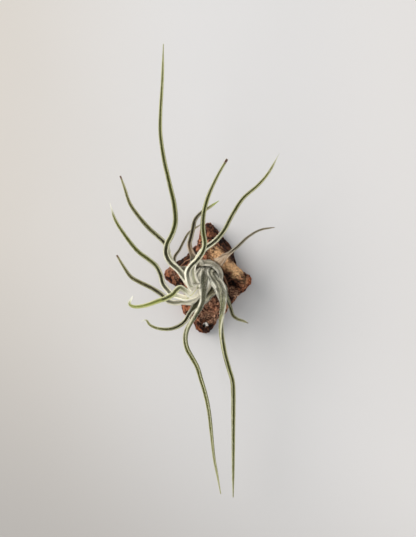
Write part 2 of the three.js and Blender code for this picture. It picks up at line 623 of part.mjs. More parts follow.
// The leaves, from the innermost outward: an outer sheath gives way to what it wraps
const wrapped = [spear(CLEAR), stemAndRoots(CLEAR)];
const leafPieces = [];
for (const leaf of [...LEAVES].reverse()) {
  const whole = leafSolid(leaf);
  const cut = wrapped.reduce((solid, neighbour) => solid.subtract(neighbour), whole);
  leafPieces.unshift({ leaf, solid: largestOf(cut) });
  wrapped.push(leafSolid(leaf, CLEAR).add(leafSolid(leaf, CLEAR / 2)));
}
for (const { leaf, solid } of leafPieces) addPiece(leaf.name, solid, leaf.colour, LEAF_ROUGHNESS);
addPiece("young_spear", spear(), WHITE_GREEN, LEAF_ROUGHNESS);
addPiece("stem_and_roots", stemAndRoots(), ROOT_BROWN, BARK_FINISH);
addPiece("cork_bark", corkBark(), CORK_BROWN, BARK_FINISH);

export default plant;
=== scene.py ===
# %% [markdown]
# # An air plant on a piece of cork bark
#
# A small bromeliad that lives without soil: leaves rolled into narrow channels under pale, standing scales,
# sheaths that wrap each other in a bulb, and wiry roots on a rough chunk of cork bark. The solid of every
# piece is already there, as a frame that stays fixed. This lesson builds the surfaces around it.

import math

import bmesh
import bpy
import numpy as np
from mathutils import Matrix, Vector, noise
from mathutils.bvhtree import BVHTree


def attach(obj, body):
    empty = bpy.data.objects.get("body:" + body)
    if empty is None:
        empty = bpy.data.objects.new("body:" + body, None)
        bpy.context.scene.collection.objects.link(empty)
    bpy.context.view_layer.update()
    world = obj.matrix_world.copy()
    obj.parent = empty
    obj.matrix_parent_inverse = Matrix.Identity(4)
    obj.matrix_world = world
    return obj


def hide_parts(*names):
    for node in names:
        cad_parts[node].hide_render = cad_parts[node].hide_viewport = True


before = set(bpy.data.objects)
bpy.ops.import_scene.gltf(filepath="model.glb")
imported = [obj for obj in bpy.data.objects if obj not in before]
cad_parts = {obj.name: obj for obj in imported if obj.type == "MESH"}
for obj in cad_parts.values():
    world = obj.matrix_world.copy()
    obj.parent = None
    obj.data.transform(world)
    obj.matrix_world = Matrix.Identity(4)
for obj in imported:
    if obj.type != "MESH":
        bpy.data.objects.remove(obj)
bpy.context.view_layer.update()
scene = bpy.context.scene
MM = 0.001

# %% [markdown]
# ## Camera
#
# The picture was taken from straight above. A camera far above the plant with a long lens keeps the
# picture's flat perspective. One pixel of it is a little over half a millimetre at the floor.

# %% Camera straight above the plant
PHOTO_ROWS = 537
PIXEL_AT_FLOOR = 0.62 * MM
CAMERA_HEIGHT = 0.9
CAMERA_ALONG = 5.6 * MM
SENSOR = 36


def add(name, data, place=(0, 0, 0)):
    thing = bpy.data.objects.new(name, data)
    thing.location = place
    scene.collection.objects.link(thing)
    return thing


lens = bpy.data.cameras.new("camera")
lens.sensor_fit = "VERTICAL"
lens.sensor_height = SENSOR
lens.lens = SENSOR * CAMERA_HEIGHT / (PHOTO_ROWS * PIXEL_AT_FLOOR)
scene.camera = add("camera", lens, (0, CAMERA_ALONG, CAMERA_HEIGHT))
print("lens in mm:", round(lens.lens, 1))

# %% [markdown]
# ## Materials written as sums
#
# A procedural finish is mostly arithmetic on masks. A Tone wraps a socket, so that 1 - mask or mask * 0.5
# adds the Math nodes by itself, Wiring adds any node to a tree, and a Finish holds one material.

# %% A socket that understands plus, minus and times
class Tone:
    def __init__(self, wiring, socket):
        self.wiring = wiring
        self.socket = socket

    def also(self, output):
        return Tone(self.wiring, self.socket.node.outputs[output])

    def sum(self, operation, first, second):
        return self.wiring.node("ShaderNodeMath", {0: first, 1: second}, operation=operation)

    def __add__(self, other):
        return self.sum("ADD", self, other)

    def __sub__(self, other):
        return self.sum("SUBTRACT", self, other)

    def __rsub__(self, other):
        return self.sum("SUBTRACT", other, self)

    def __mul__(self, other):
        return self.sum("MULTIPLY", self, other)

    __radd__ = __add__
    __rmul__ = __mul__


class Wiring:
    def __init__(self, tree):
        self.tree = tree

    def feed(self, socket, value):
        if isinstance(value, Tone):
            self.tree.links.new(value.socket, socket)
        else:
            socket.default_value = value

    def node(self, kind, inputs, output=0, **settings):
        node = self.tree.nodes.new(kind)
        for name, value in settings.items():
            setattr(node, name, value)
        for socket, value in inputs.items():
            self.feed(node.inputs[socket], value)
        return Tone(self, node.outputs[output] if node.outputs else None)


# %% One material and its nodes
def lit(colour):
    """A colour as read off a screen, turned into the numbers that light is worked out with."""
    if isinstance(colour, Tone):
        return colour
    return tuple(((c / 255 + 0.055) / 1.055) ** 2.4 if c > 10 else c / 3295 for c in colour) + (1,)


class Finish(Wiring):
    def __init__(self, name):
        self.material = bpy.data.materials.new(name)
        self.material.use_nodes = True
        super().__init__(self.material.node_tree)

    def mask(self, name):
        return self.node("ShaderNodeAttribute", {}, "Fac", attribute_name=name)

    def place(self, stretch=(1, 1, 1), turn=(0, 0, 0)):
        spot = self.node("ShaderNodeTexCoord", {}, "Object")
        return self.node("ShaderNodeMapping", {"Vector": spot, "Scale": stretch, "Rotation": turn})

    def grain(self, place, size, detail=4.0, roughness=0.55, distortion=0.0):
        """Noise from 0 to 1 whose blotches are about size metres across."""
        return self.node("ShaderNodeTexNoise", {
            "Vector": place, "Scale": 1 / size, "Detail": detail, "Roughness": roughness,
            "Distortion": distortion})

    def band(self, value, low, high):
        """Runs smoothly from 0 to 1 while value goes from low to high."""
        inputs = {"Value": value, 1: low, 2: high}
        return self.node("ShaderNodeMapRange", inputs, interpolation_type="SMOOTHSTEP")

    def mix(self, amount, first, second):
        return self.node("ShaderNodeMix", {0: amount, 6: lit(first), 7: lit(second)}, 2, data_type="RGBA")

    def done(self, height=0, deep=0, strength=0, **sockets):
        """Feeds the shader; height, if there is one, goes through a Bump node that is deep metres."""
        shader = self.tree.nodes["Principled BSDF"]
        if deep:
            bump = {"Height": height, "Distance": deep, "Strength": strength}
            sockets["Normal"] = self.node("ShaderNodeBump", bump)
        for name, value in sockets.items():
            self.feed(shader.inputs[name.replace("_", " ")], value)
        return self.material


# %% [markdown]
# ## The lines of the leaves
#
# Each leaf follows one smooth line: up its sheath on the egg-shaped bulb, then along its blade. Lines and
# sizes are those of the solids, in millimetres, so each fine leaf lies where its solid does.

# %% Sizes of the bulb and the blades
BULB_FOOT = np.array([3.6, 6.8, 18.7])
BULB_AXIS = np.array([-0.375, -0.5, 0.781])
BULB_AXIS /= np.linalg.norm(BULB_AXIS)
BULB_RADIUS = 11
BULB_HALF_LENGTH = 12.5
BULB_CENTRE = BULB_FOOT + BULB_HALF_LENGTH * BULB_AXIS
NECK_RADIUS = 7.2
NECK_STEP = 1.08
NECK_LEAN = 0.6
LAYER_STEP = 1.3
TURN_SIDE = np.array([-0.8, 0.6, 0])
TURN_ZERO = np.cross(TURN_SIDE, BULB_AXIS)
TURN_ZERO /= np.linalg.norm(TURN_ZERO)
STEM_RADIUS = 2.9
CLEAR = 0.32
SHEATH_WALL = 0.7
BLADE_WALL = 0.66
BLADE_RADIUS = 1.75
MIDDLE_RADIUS = 1.5
TIP_RADIUS = 0.72
TIP_TAPER = 1.6
BLADE_CURL = 2.05
TIP_CURL = 1.15
TIP_OPENING = 4
TWIST_STARTS = 2
SETTLES = 26
CURVE_STEPS = 400
SHEATH_POINTS = 5
LEAST_SQUARE = 0.25

# %% [markdown]
# Fourteen leaves, outermost first. layer counts inward, turn and spread are the middle and half width of
# the sheath in degrees, and leaves is how far up the bulb the leaf parts from it. lead and narrows say
# where the sheath becomes a blade, face where the channel looks in the end, and settles how soon. route is
# the middle of the blade. The rest are looks: tip, slim and hug say how narrow tip, blade and sheath have
# dried in, and drawn_in how much one side of the sheath has. green, white, old, milky and bright say how
# fresh, frosted, faded, white-footed and light it is, and lean moves the painted shade in its channel to
# one side and widens the painted highlight on one margin. papery is its dry stretch, stripes are
# dark bands on its back, and rust, pale_tip and fresh_tip colour its tip.

# %% The fourteen leaves
LEAVES = {
    "leaf_08": dict(layer=0, turn=-10, spread=36, leaves=52, narrows=10, lead=3, size=0.75,
        route=[[8.1, 9.9, 30.2], [10.3, 12.6, 31], [13.2, 15, 30.4], [18, 19, 31.5], [24, 24.5, 35],
        [31, 28.5, 38], [39.5, 30, 40]],
        tip=0.5, green=0.0, white=0.3, old=1.0, slim=0.66, hug=0.8, drawn_in=0.5, papery=(-30, 11)),
    "leaf_10": dict(layer=0, turn=118, spread=42, leaves=88, narrows=9, lead=10, size=0.75,
        route=[[-13, 3.5, 25.8], [-17.5, 5.5, 26.5], [-20, 8.5, 27.5], [-20, 12.5, 29], [-17, 17, 30],
        [-14.5, 22, 31], [-11.5, 27, 32], [-8, 29.5, 33], [-4, 32, 34]],
        tip=0.5, green=0.05, white=0.2, old=0.9, slim=0.7),
    "leaf_11": dict(layer=0, turn=208, spread=46, leaves=118, narrows=13, lead=3,
        route=[[-6.3, -14.5, 31], [-8.5, -18, 32.5], [-10.8, -21, 33], [-13.5, -25.5, 33.5],
        [-17, -28.5, 34], [-23, -30.5, 35], [-30, -30, 36], [-34.5, -28, 36.5], [-37, -25, 37],
        [-40, -26, 37]],
        tip=0.2, green=0.4, white=0.25, pale_tip=0.8, slim=0.72),
    "leaf_14": dict(layer=1, spread=24, narrows=12, size=0.85, sheath=[[62, 20], [58, 50], [44, 78],
        [16, 76], [-16, 74], [-42, 79], [-60, 88]],
        route=[[9.3, -5.5, 31.5], [10.6, -10.5, 31], [12.3, -14.5, 31.5], [13.8, -19, 32], [15, -22.5, 32.5],
        [17.5, -24.5, 33], [20.5, -25.5, 33.5], [24, -27, 34]],
        tip=0.5, green=0.25, white=0.15, old=0.35, rust=0.6, slim=0.85),
    "leaf_04": dict(layer=1, turn=178, spread=42, leaves=165, narrows=11, lead=9,
        route=[[-11, -12.8, 36.5], [-15, -14, 37], [-19.5, -14.8, 37], [-24, -13.5, 37], [-27.5, -10, 37],
        [-33.5, -6, 38], [-40.5, -2.5, 39], [-45.5, 0.5, 40], [-49.5, 6, 41], [-54, 13.5, 41]],
        tip=0.9, green=0.1, white=0.3, rust=0.8, old=0.15, milky=0.3, slim=0.88),
    "leaf_09": dict(layer=2, turn=62, spread=42, leaves=94, narrows=10, lead=12, size=0.95,
        route=[[-7.3, 9.7, 33.5], [-8.6, 12.7, 35.5], [-10.3, 16.5, 37.5], [-11, 20, 38.7], [-10, 24.5, 40],
        [-9, 28.5, 41], [-7.5, 34.5, 42.5], [-4, 38.5, 43], [0.5, 41.5, 44], [6.5, 45.5, 45]],
        tip=0.35, green=0.0, white=0.4, old=0.75, fresh_tip=1.0, slim=0.86, papery=(8, 17)),
    "leaf_13": dict(layer=2, spread=33, narrows=24, sheath=[[-20, 24], [-20, 60], [-14, 90], [-10, 104]],
        face=[0.5, 0, 0.85], settles=46,
        route=[[4.4, -1.2, 37.4], [6.6, -5, 37.8], [8.2, -10, 38], [8.9, -15, 38], [8.7, -20, 38.3],
        [8, -26, 38.8], [8, -32, 39.4], [9, -39.5, 40.2], [10.5, -47, 41], [12.5, -54, 41.5],
        [14.5, -61, 42], [15, -70, 42], [15, -79, 42], [15, -91, 41], [15, -103, 40], [15, -117, 38.5],
        [15, -130.5, 36.5]],
        tip=0.6, green=0.4, white=0.4, stripes=[(-0.5, 0.16), (0.12, 0.13)], slim=0.88),
    "leaf_02": dict(layer=3, turn=97, spread=38, leaves=165, narrows=11, lead=9,
        route=[[-13, -0.3, 41], [-16.5, 4, 42.3], [-20.5, 8, 42.5], [-23, 12.5, 42], [-24, 17, 42],
        [-25.5, 20.5, 42.5], [-29.5, 24.5, 43.5], [-34.5, 29, 44.5], [-41, 36.5, 46], [-46, 44, 47],
        [-49, 53, 48], [-51.5, 60, 48]],
        tip=0.85, green=0.2, white=0.3, rust=0.9, old=0.1, milky=0.2, slim=0.86),
    "leaf_12": dict(layer=3, turn=12, spread=34, leaves=112, narrows=21, face=[-0.7, 0.2, 0.7], settles=50,
        route=[[-2.2, -0.7, 41], [-2.7, -5.4, 43], [-2.8, -9.5, 43.6], [-3.4, -14, 43.6],
        [-5.5, -18.5, 43.3], [-9.7, -25, 42.5], [-12.4, -30, 42], [-13.5, -35.5, 42], [-12.5, -41.5, 42],
        [-9.5, -47, 42.5], [-6.5, -52.5, 42.5], [-4, -60.5, 42.5], [-1.5, -69, 42.5], [0.5, -79, 42],
        [2, -92.5, 41], [3.5, -106.5, 39.5], [5.5, -117.5, 38], [7.5, -128.5, 36.5]],
        tip=0.6, green=0.4, white=0.4, stripes=[(-0.3, 0.42), (0.5, 0.12)], slim=0.85),
    "leaf_03": dict(layer=3, turn=181, spread=40, leaves=165, narrows=11, lead=9,
        route=[[-11, -11, 39.5], [-13.5, -12, 42.5], [-17, -11, 43.3], [-21.5, -9.5, 43], [-24, -7, 43],
        [-26.5, -3.5, 43], [-28, 2, 44], [-30.5, 7, 45], [-35, 11, 46], [-41, 15.5, 47], [-49, 25.5, 49],
        [-54.5, 34.5, 50], [-57.5, 44, 50]],
        tip=0.25, green=0.45, white=0.4, pale_tip=0.9, milky=0.7, slim=0.88),
    "leaf_07": dict(layer=4, turn=40, spread=36, leaves=160, narrows=16, lead=6,
        route=[[-7.3, -2.6, 43], [-8.9, 1, 45.5], [-9, 5, 46.6], [-8, 8.3, 47], [-6.3, 11, 47.2],
        [-4, 15, 47.3], [-1, 18, 47.4], [2, 20, 47.5], [5.5, 23, 48.5], [9.5, 28, 50], [14, 36.5, 52],
        [20.5, 46.5, 54], [29, 54, 55], [35, 61, 56], [41.5, 72.5, 56]],
        tip=0.2, green=0.35, white=0.45, pale_tip=0.4, milky=0.3, slim=0.8),
    "leaf_01": dict(layer=4, turn=118, spread=38, leaves=165, narrows=10, lead=9,
        route=[[-11.3, -3.8, 43.3], [-14.3, 0.6, 47.3], [-17.5, 5, 50], [-22, 9, 51], [-24.5, 14, 51],
        [-24, 19.5, 52], [-21, 25.5, 54], [-19, 32.5, 56], [-19.5, 42, 58], [-22, 53.5, 60], [-25.5, 69, 61],
        [-27.5, 83.5, 61], [-27.5, 95.5, 60], [-26.5, 115, 57.5], [-26, 136.5, 54]],
        tip=0.5, green=0.5, white=0.4, milky=0.3, slim=0.82),
    "leaf_06": dict(layer=5, turn=72, spread=38, leaves=165, narrows=10, lead=9, face=[0.4, -0.1, 0.9],
        route=[[-8.6, -5.6, 43.8], [-10.2, -4.9, 48], [-11.6, -1, 52], [-12, 3.5, 54.5], [-10, 7, 56],
        [-6.5, 10.5, 58], [-3.5, 14.5, 60], [-2, 19.5, 62], [-3, 28.5, 65], [-2.5, 37, 67], [0, 46.5, 69],
        [5.5, 58.5, 71], [11, 68, 72]],
        tip=1.1, green=0.5, white=0.5, rust=1.0, milky=0.5, lean=0.35, slim=0.94),
    "leaf_05": dict(layer=5, turn=165, spread=38, leaves=165, narrows=14, lead=9,
        route=[[-9.4, -9.8, 42.5], [-10.9, -9.8, 47.5], [-13.5, -7.3, 51.5], [-16.3, -5.6, 54.5],
        [-18.3, -7, 56.5], [-20.5, -9.5, 57.5], [-24, -11.5, 57.5], [-29.5, -13.5, 57.5], [-37, -16, 58],
        [-43, -16.5, 58.5], [-45.5, -15, 59], [-43.5, -10.5, 60]],
        tip=0.75, green=1.0, white=0.5, pale_tip=1.0, milky=1.0, bright=1.0, slim=0.96),
}
print("leaves:", len(LEAVES))


# %% [markdown]
# ## Walking along a smooth line
#
# A centripetal Catmull-Rom line passes through every point without loops or overshoots, even where the
# points lie close together, as on the bulb. Walking by share of the length keeps the stations even.

# %% A smooth line through points
def unit(vectors):
    return vectors / np.linalg.norm(vectors, axis=-1, keepdims=True)


def smooth_step(value, low, high):
    share = np.clip((value - low) / (high - low), 0, 1)
    return share * share * (3 - 2 * share)


class Line:
    def __init__(self, points):
        points = np.array(points, float)
        self.points = np.vstack([2 * points[0] - points[1], points, 2 * points[-1] - points[-2]])
        self.pieces = len(points) - 1
        self.stops = np.linspace(0, 1, CURVE_STEPS + 1)
        steps = np.linalg.norm(np.diff(self.at(self.stops), axis=0), axis=1)
        self.reached = np.concatenate([[0], np.cumsum(steps)])
        self.length = self.reached[-1]

    def at(self, stop):
        place = np.clip(stop, 0, 1) * self.pieces
        piece = np.minimum(place.astype(int), self.pieces - 1)
        way = (place - piece)[:, None]
        p0, p1, p2, p3 = (self.points[piece + k] for k in range(4))
        d0, d1, d2 = (np.linalg.norm(b - a, axis=1, keepdims=True) ** 0.5
                      for a, b in ((p0, p1), (p1, p2), (p2, p3)))
        start = ((p1 - p0) / d0 - (p2 - p0) / (d0 + d1) + (p2 - p1) / d1) * d1
        end = ((p2 - p1) / d1 - (p3 - p1) / (d1 + d2) + (p3 - p2) / d2) * d1
        square = 3 * (p2 - p1) - 2 * start - end
        cube = 2 * (p1 - p2) + start + end
        return p1 + way * (start + way * (square + way * cube))

    def walk(self, share):
        """Places and directions at shares of the length."""
        stop = np.interp(share * self.length, self.reached, self.stops)
        ahead = self.at(np.minimum(stop + 1e-4, 1)) - self.at(np.maximum(stop - 1e-4, 0))
        return self.at(stop), unit(ahead)


# %% [markdown]
# ## Sheath, twist and trough
#
# On the bulb a leaf is a shell round the bulb's axis. Past it, the leaf rolls up to a trough and twists
# until its channel looks up. The direction of its back is carried along without spin, and the twist is
# added over a stretch of the blade.

# %% Places on the bulb
def on_sheath(layer, turn, rise):
    """rise is 0 at the foot of the bulb and 180 degrees at its open neck."""
    radius = BULB_RADIUS - layer * LAYER_STEP
    neck = NECK_RADIUS - layer * NECK_STEP
    below = rise < math.pi / 2
    half = BULB_HALF_LENGTH - layer * LAYER_STEP if below else BULB_HALF_LENGTH
    reach = radius * math.sin(rise) if below else neck + (radius - neck) * math.sin(rise)
    outward = TURN_ZERO * math.cos(turn) + TURN_SIDE * math.sin(turn)
    return BULB_CENTRE + outward * reach - BULB_AXIS * half * math.cos(rise)


def bulb_normal(points):
    away = points - BULB_CENTRE
    along = away @ BULB_AXIS
    lean = (BULB_RADIUS / BULB_HALF_LENGTH) ** 2 * np.where(along > 0, NECK_LEAN, 1)
    return unit(away + np.outer(along * (lean - 1), BULB_AXIS))


def leaf_line(leaf):
    """The leaf's line, and the share of its length at which it parts from the bulb."""
    if "sheath" in leaf:
        places = [(math.radians(turn), math.radians(rise)) for turn, rise in leaf["sheath"]]
    else:
        first = math.asin((STEM_RADIUS + CLEAR) / (BULB_RADIUS - leaf["layer"] * LAYER_STEP))
        rises = np.linspace(first, math.radians(leaf["leaves"]), SHEATH_POINTS + 1)
        places = [(math.radians(leaf["turn"]), rise) for rise in rises]
    sheath = [on_sheath(leaf["layer"], turn, rise) for turn, rise in places]
    line = Line(sheath + [np.array(place) for place in leaf["route"]])
    last_on_bulb = round(CURVE_STEPS * (len(sheath) - 1) / line.pieces)
    return line, line.reached[last_on_bulb] / line.length


# %% Which way the back of the leaf looks, all along it
def leaf_backs(leaf, line, parts_at):
    shares = np.linspace(0, 1, CURVE_STEPS + 1)
    at, tangent = line.walk(shares)
    square_out = bulb_normal(at)
    wish = -unit(np.array(leaf.get("face", [0, 0, 1]), float))
    backs = []
    normal = square_out[0]
    angle_before = 0.0
    for share, way, out in zip(shares, tangent, square_out):
        if share <= parts_at:
            normal = out
        normal = unit(normal - way * (normal @ way))
        side = np.cross(normal, way)
        angle = math.atan2(wish @ side, wish @ normal)
        if share > parts_at:
            angle -= 2 * math.pi * round((angle - angle_before) / (2 * math.pi))
        angle_before = angle
        settled = smooth_step((share - parts_at) * line.length, TWIST_STARTS, leaf.get("settles", SETTLES))
        turned = angle * settled
        backs.append(normal * math.cos(turned) + side * math.sin(turned))
    return shares, np.array(backs)


# %% [markdown]
# ## One closed cross-section
#
# A flat grid is rolled round the whole section of a leaf: back, both margins and channel, with a welded
# join at the bottom of the channel. Every point knows where it is: across runs from one margin to the
# other, and depth from the back, 0, to the channel, 1.

# %% The walk round the cross-section
BACK_STEPS = 18
MARGIN_STEPS = 5
CHANNEL_STEPS = 14
STATION_EVERY = 0.6  # millimetres along a leaf
WELD = 0.002 * MM


def section_walk():
    half = CHANNEL_STEPS // 2
    steps = [(k / half, 1, 0) for k in range(half + 1)]
    margin = [math.pi * k / MARGIN_STEPS for k in range(1, MARGIN_STEPS)]
    steps += [(1, 0.5 + 0.5 * math.cos(angle), math.sin(angle)) for angle in margin]
    steps += [(1 - 2 * k / BACK_STEPS, 0, 0) for k in range(BACK_STEPS + 1)]
    steps += [(-1, 0.5 - 0.5 * math.cos(angle), -math.sin(angle)) for angle in margin]
    steps += [(k / half - 1, 1, 0) for k in range(half + 1)]
    return np.array(steps).T


across_walk, depth_walk, bulge_walk = section_walk()
print("points round a leaf:", len(across_walk) - 1)


# %% The trough at every station of a leaf
def trough(leaf, line, parts_at, shares):
    """Where the stations of a leaf lie and look, and how wide, curled and thick it is there."""
    at, tangent = line.walk(shares)
    fine_shares, fine_backs = leaf_backs(leaf, line, parts_at)
    back = np.stack([np.interp(shares, fine_shares, fine_backs[:, k]) for k in range(3)], axis=1)
    back = unit(back - tangent * np.sum(back * tangent, axis=1, keepdims=True))
    away = (shares - parts_at) * line.length
    from_foot = at - BULB_FOOT
    out = from_foot - np.outer(from_foot @ BULB_AXIS, BULB_AXIS)
    distance = np.linalg.norm(out, axis=1)
    square = np.maximum(LEAST_SQUARE, np.sum(unit(out) * back, axis=1))
    last = np.flatnonzero(away <= 0)[-1]
    kept = np.minimum(np.arange(len(shares)), last)
    sheath_radius = (distance / square)[kept]
    sheath_angle = np.arctan(math.tan(math.radians(leaf["spread"])) * square[kept])
    narrowing = smooth_step(away, -leaf.get("lead", 0), leaf["narrows"])
    change = smooth_step(away, 0, leaf["narrows"])
    along = np.maximum(0, away / (line.length * (1 - parts_at)))
    size = leaf.get("size", 1)
    early = size * (BLADE_RADIUS + (MIDDLE_RADIUS - BLADE_RADIUS) * along * 2)
    taper = np.clip(along * 2 - 1, 0, 1) ** TIP_TAPER
    late = size * MIDDLE_RADIUS + (TIP_RADIUS - size * MIDDLE_RADIUS) * taper
    blade = np.where(along < 0.5, early, late)
    blade_half = blade * (BLADE_CURL + (TIP_CURL - BLADE_CURL) * along ** TIP_OPENING)
    half = (sheath_radius * sheath_angle) ** (1 - narrowing) * blade_half ** narrowing
    radius = sheath_radius ** (1 - change) * blade ** change
    curl = np.minimum(half / radius, sheath_angle + (BLADE_CURL - sheath_angle) * change)
    wall = SHEATH_WALL + (BLADE_WALL - SHEATH_WALL) * change
    return dict(at=at, tangent=tangent, back=back, away=away, along=along, change=change,
                radius=radius, curl=curl, wall=wall)


# %% [markdown]
# ## From grid to leaf
#
# The grid's points are carried into place in one go, the seam is welded and both ends are closed. The
# margins waver a little, the sheaths have soft dents and pleats, and the very tip tapers.

# %% Small unevenness
def wander(values, size, seed):
    return np.array([noise.noise(Vector((value / size, seed, 0.5))) for value in values]) * 1.6


TIP_LENGTH = 0.12  # share of the blade that tapers to the fine tip
UNEVEN = 0.03  # share of the radius
WAVER = 0.045  # share of the angle, at the margins
PLEAT_WAVES = 21  # radians from the middle of a sheath to its margin
MARGIN_THINNER = 0.25  # how much thinner the wall is at the margin
PLEAT = 0.07  # millimetres, on the sheaths
DENT = 0.22
FLARE = 0.4  # how far the margins of a sheath stand off


def leaf_points(leaf, station, seed):
    away = station["away"]
    unevenness = wander(away, 9, seed)
    flutter = np.stack([wander(away, 5, seed + 7.3), wander(away, 5, seed + 3.9)], axis=1)
    end = 1 - (1 - leaf["tip"]) * smooth_step(station["along"], 1 - TIP_LENGTH, 1) ** 1.5
    dried = 1 - (1 - leaf.get("slim", 1)) * smooth_step(station["along"], 0.05, 0.7)
    radius = station["radius"] * (1 + UNEVEN * unevenness) * end * dried
    wall = np.minimum(station["wall"] * end, radius - 0.03)
    side = np.cross(station["back"], station["tangent"])
    margin_side = np.where(across_walk > 0, 0, 1)
    waver = 1 + WAVER * flutter[:, margin_side] * np.abs(across_walk) ** 2
    hugging = leaf.get("hug", 1) + (1 - leaf.get("hug", 1)) * smooth_step(away, 2, 9)
    drawn_in = leaf.get("drawn_in", 0) * (1 - smooth_step(np.abs(away - 1), 4, 12))
    lopsided = 1 - drawn_in[:, None] * np.clip(across_walk, 0, 1)
    angle = across_walk * (station["curl"] * hugging)[:, None] * waver * lopsided
    wall_here = wall[:, None] * (1 - MARGIN_THINNER * across_walk ** 4)
    reach = radius[:, None] - wall_here * depth_walk
    bulge = bulge_walk * wall_here * 0.5
    on_bulb = (1 - station["change"])[:, None]
    pleats = np.cos(across_walk * PLEAT_WAVES + unevenness[:, None] * 1.5) * PLEAT
    dents = np.array([[noise.noise(Vector((a / 6, c * 2.2, seed))) for c in across_walk] for a in away])
    reach = reach + on_bulb * (1 - depth_walk) * (pleats + DENT * dents)
    reach = reach + on_bulb * FLARE * smooth_step(np.abs(across_walk), 0.72, 1)
    centre = station["at"] - station["back"] * (radius * on_bulb[:, 0])[:, None]
    out = np.cos(angle)[..., None] * station["back"][:, None] + np.sin(angle)[..., None] * side[:, None]
    sideways = np.cos(angle)[..., None] * side[:, None] - np.sin(angle)[..., None] * station["back"][:, None]
    return centre[:, None] + out * reach[..., None] + sideways * bulge[..., None]


# %% What each point carries for the finish and the frost
LOOKS = ("green", "white", "old", "rust", "pale_tip", "fresh_tip", "milky", "bright", "lean")
FROSTED_TO = 58  # millimetres past the bulb, or less on a short blade
NOWHERE = (-60, -50)


def stripes_of(leaf, away):
    """Dark bands along the back of the foot of a leaf, with wavering edges."""
    bands = np.zeros((len(away), len(across_walk)))
    wavering = 0.08 * wander(away, 7, 2.2)[:, None]
    for middle, wide in leaf.get("stripes", ()):
        bands = np.maximum(bands, np.exp(-((across_walk - middle - wavering) / wide) ** 4))
    return bands * (depth_walk < 0.5) * (1 - smooth_step(away, 26, 46))[:, None]


def leaf_masks(leaf, station, seed):
    reach = station["away"][:, None]
    on_bulb = 1 - station["change"][:, None]
    frosted_to = min(FROSTED_TO, 0.6 * station["away"][-1])
    near = 1 - smooth_step(reach, 0.15 * frosted_to, frosted_to)
    margin = smooth_step(np.abs(across_walk), 0.78, 0.98)
    stripe = stripes_of(leaf, station["away"])
    fuzz = np.where(depth_walk < 0.5, 0.5 + 0.3 * on_bulb, 0.12 * (1 - on_bulb))
    fuzz = fuzz + (1 - fuzz) * margin * (1 - 0.9 * on_bulb * (depth_walk > 0.9))
    fuzz = fuzz * (0.5 + 0.7 * leaf["white"]) * (0.55 + 0.45 * near) * (1 - 0.7 * stripe)
    start, end = leaf.get("papery", NOWHERE)
    papery = smooth_step(reach, start - 3, start + 3) * (1 - smooth_step(reach, end - 4, end + 3))
    masks = dict(across=across_walk, depth=depth_walk, on_bulb=on_bulb, along=station["along"][:, None],
                 near=near, reach=reach, fuzz=fuzz, stripe=stripe, papery=papery, seed=seed)
    masks.update((look, leaf.get(look, 0)) for look in LOOKS)
    return {name: np.broadcast_to(values, stripe.shape) for name, values in masks.items()}


# %% The grid, rolled into a leaf
def mesh_from(shape, name):
    mesh = bpy.data.meshes.new(name)
    shape.to_mesh(mesh)
    shape.free()
    return mesh


def rows_of(items, what):
    flat = np.empty(3 * len(items), np.float32)
    items.foreach_get(what, flat)
    return flat.reshape(-1, 3).astype(float)


def put(mesh, points):
    mesh.vertices.foreach_set("co", np.float32(points * MM).ravel())
    mesh.update()
    mesh.shade_smooth()


def carry(mesh, name, values):
    mesh.attributes.new(name, "FLOAT", "POINT").data.foreach_set("value", np.float32(values))


def grid_mesh(name, columns, rows):
    """A flat grid, and which column and row each of its points is in."""
    shape = bmesh.new()
    shape.loops.layers.uv.new("UVMap")
    bmesh.ops.create_grid(shape, x_segments=columns, y_segments=rows, size=1, calc_uvs=True)
    mesh = mesh_from(shape, name)
    places = rows_of(mesh.vertices, "co")[:, :2]
    column, row = np.rint((places + 1) / 2 * (columns, rows)).astype(int).T
    return mesh, column, row


def close_up(mesh):
    """Welds the seam, closes both ends and turns every face outward."""
    shape = bmesh.new()
    shape.from_mesh(mesh)
    bmesh.ops.remove_doubles(shape, verts=shape.verts, dist=WELD)
    ends = [edge for edge in shape.edges if edge.is_boundary]
    caps = bmesh.ops.holes_fill(shape, edges=ends, sides=0)
    bmesh.ops.triangulate(shape, faces=caps["faces"])
    bmesh.ops.recalc_face_normals(shape, faces=shape.faces)
    shape.to_mesh(mesh)
    still_open = sum(edge.is_boundary for edge in shape.edges)
    shape.free()
    mesh.shade_smooth()
    return still_open


def rolled_mesh(name, looks, station, seed):
    mesh, column, row = grid_mesh(name, len(across_walk) - 1, len(station["away"]) - 1)
    put(mesh, leaf_points(looks, station, seed)[row, column])
    for mask, values in leaf_masks(looks, station, seed).items():
        carry(mesh, mask, values[row, column])
    tipward = mesh.attributes.new("tipward", "FLOAT_VECTOR", "POINT")
    tipward.data.foreach_set("vector", np.float32(station["tangent"][row]).ravel())
    still_open = close_up(mesh)
    print(name, "faces", len(mesh.polygons), "open edges", still_open)
    return mesh


# %% All fourteen leaves
fine_leaves = {}
for number, (name, leaf) in enumerate(LEAVES.items()):
    line, parts_at = leaf_line(leaf)
    shares = np.linspace(0, 1, round(line.length / STATION_EVERY) + 1)
    mesh = rolled_mesh(name + "_fine", leaf, trough(leaf, line, parts_at, shares), number * 3.7)
    fine_leaves[name] = add(name + "_fine", mesh)

# %% [markdown]
# ## How deep a point is tucked in
#
# Where one leaf comes out from under another, the fold lies in shade. Each point near the bulb looks out in
# nine directions: the nearer the other leaves are, the deeper it is tucked in. The finish paints shade into
# the folds by that mask.

# %% A look round from every point near the bulb
FOLD_REACH = 5 * MM
LOOK_FROM = 0.15 * MM  # off the leaf's own surface
FOLDS_TO = 36  # millimetres past the bulb
LOOK_AROUND = [(0, 0)] + [(1.5 * math.cos(turn), 1.5 * math.sin(turn))
                          for turn in np.linspace(0, 2 * math.pi, 8, endpoint=False)]


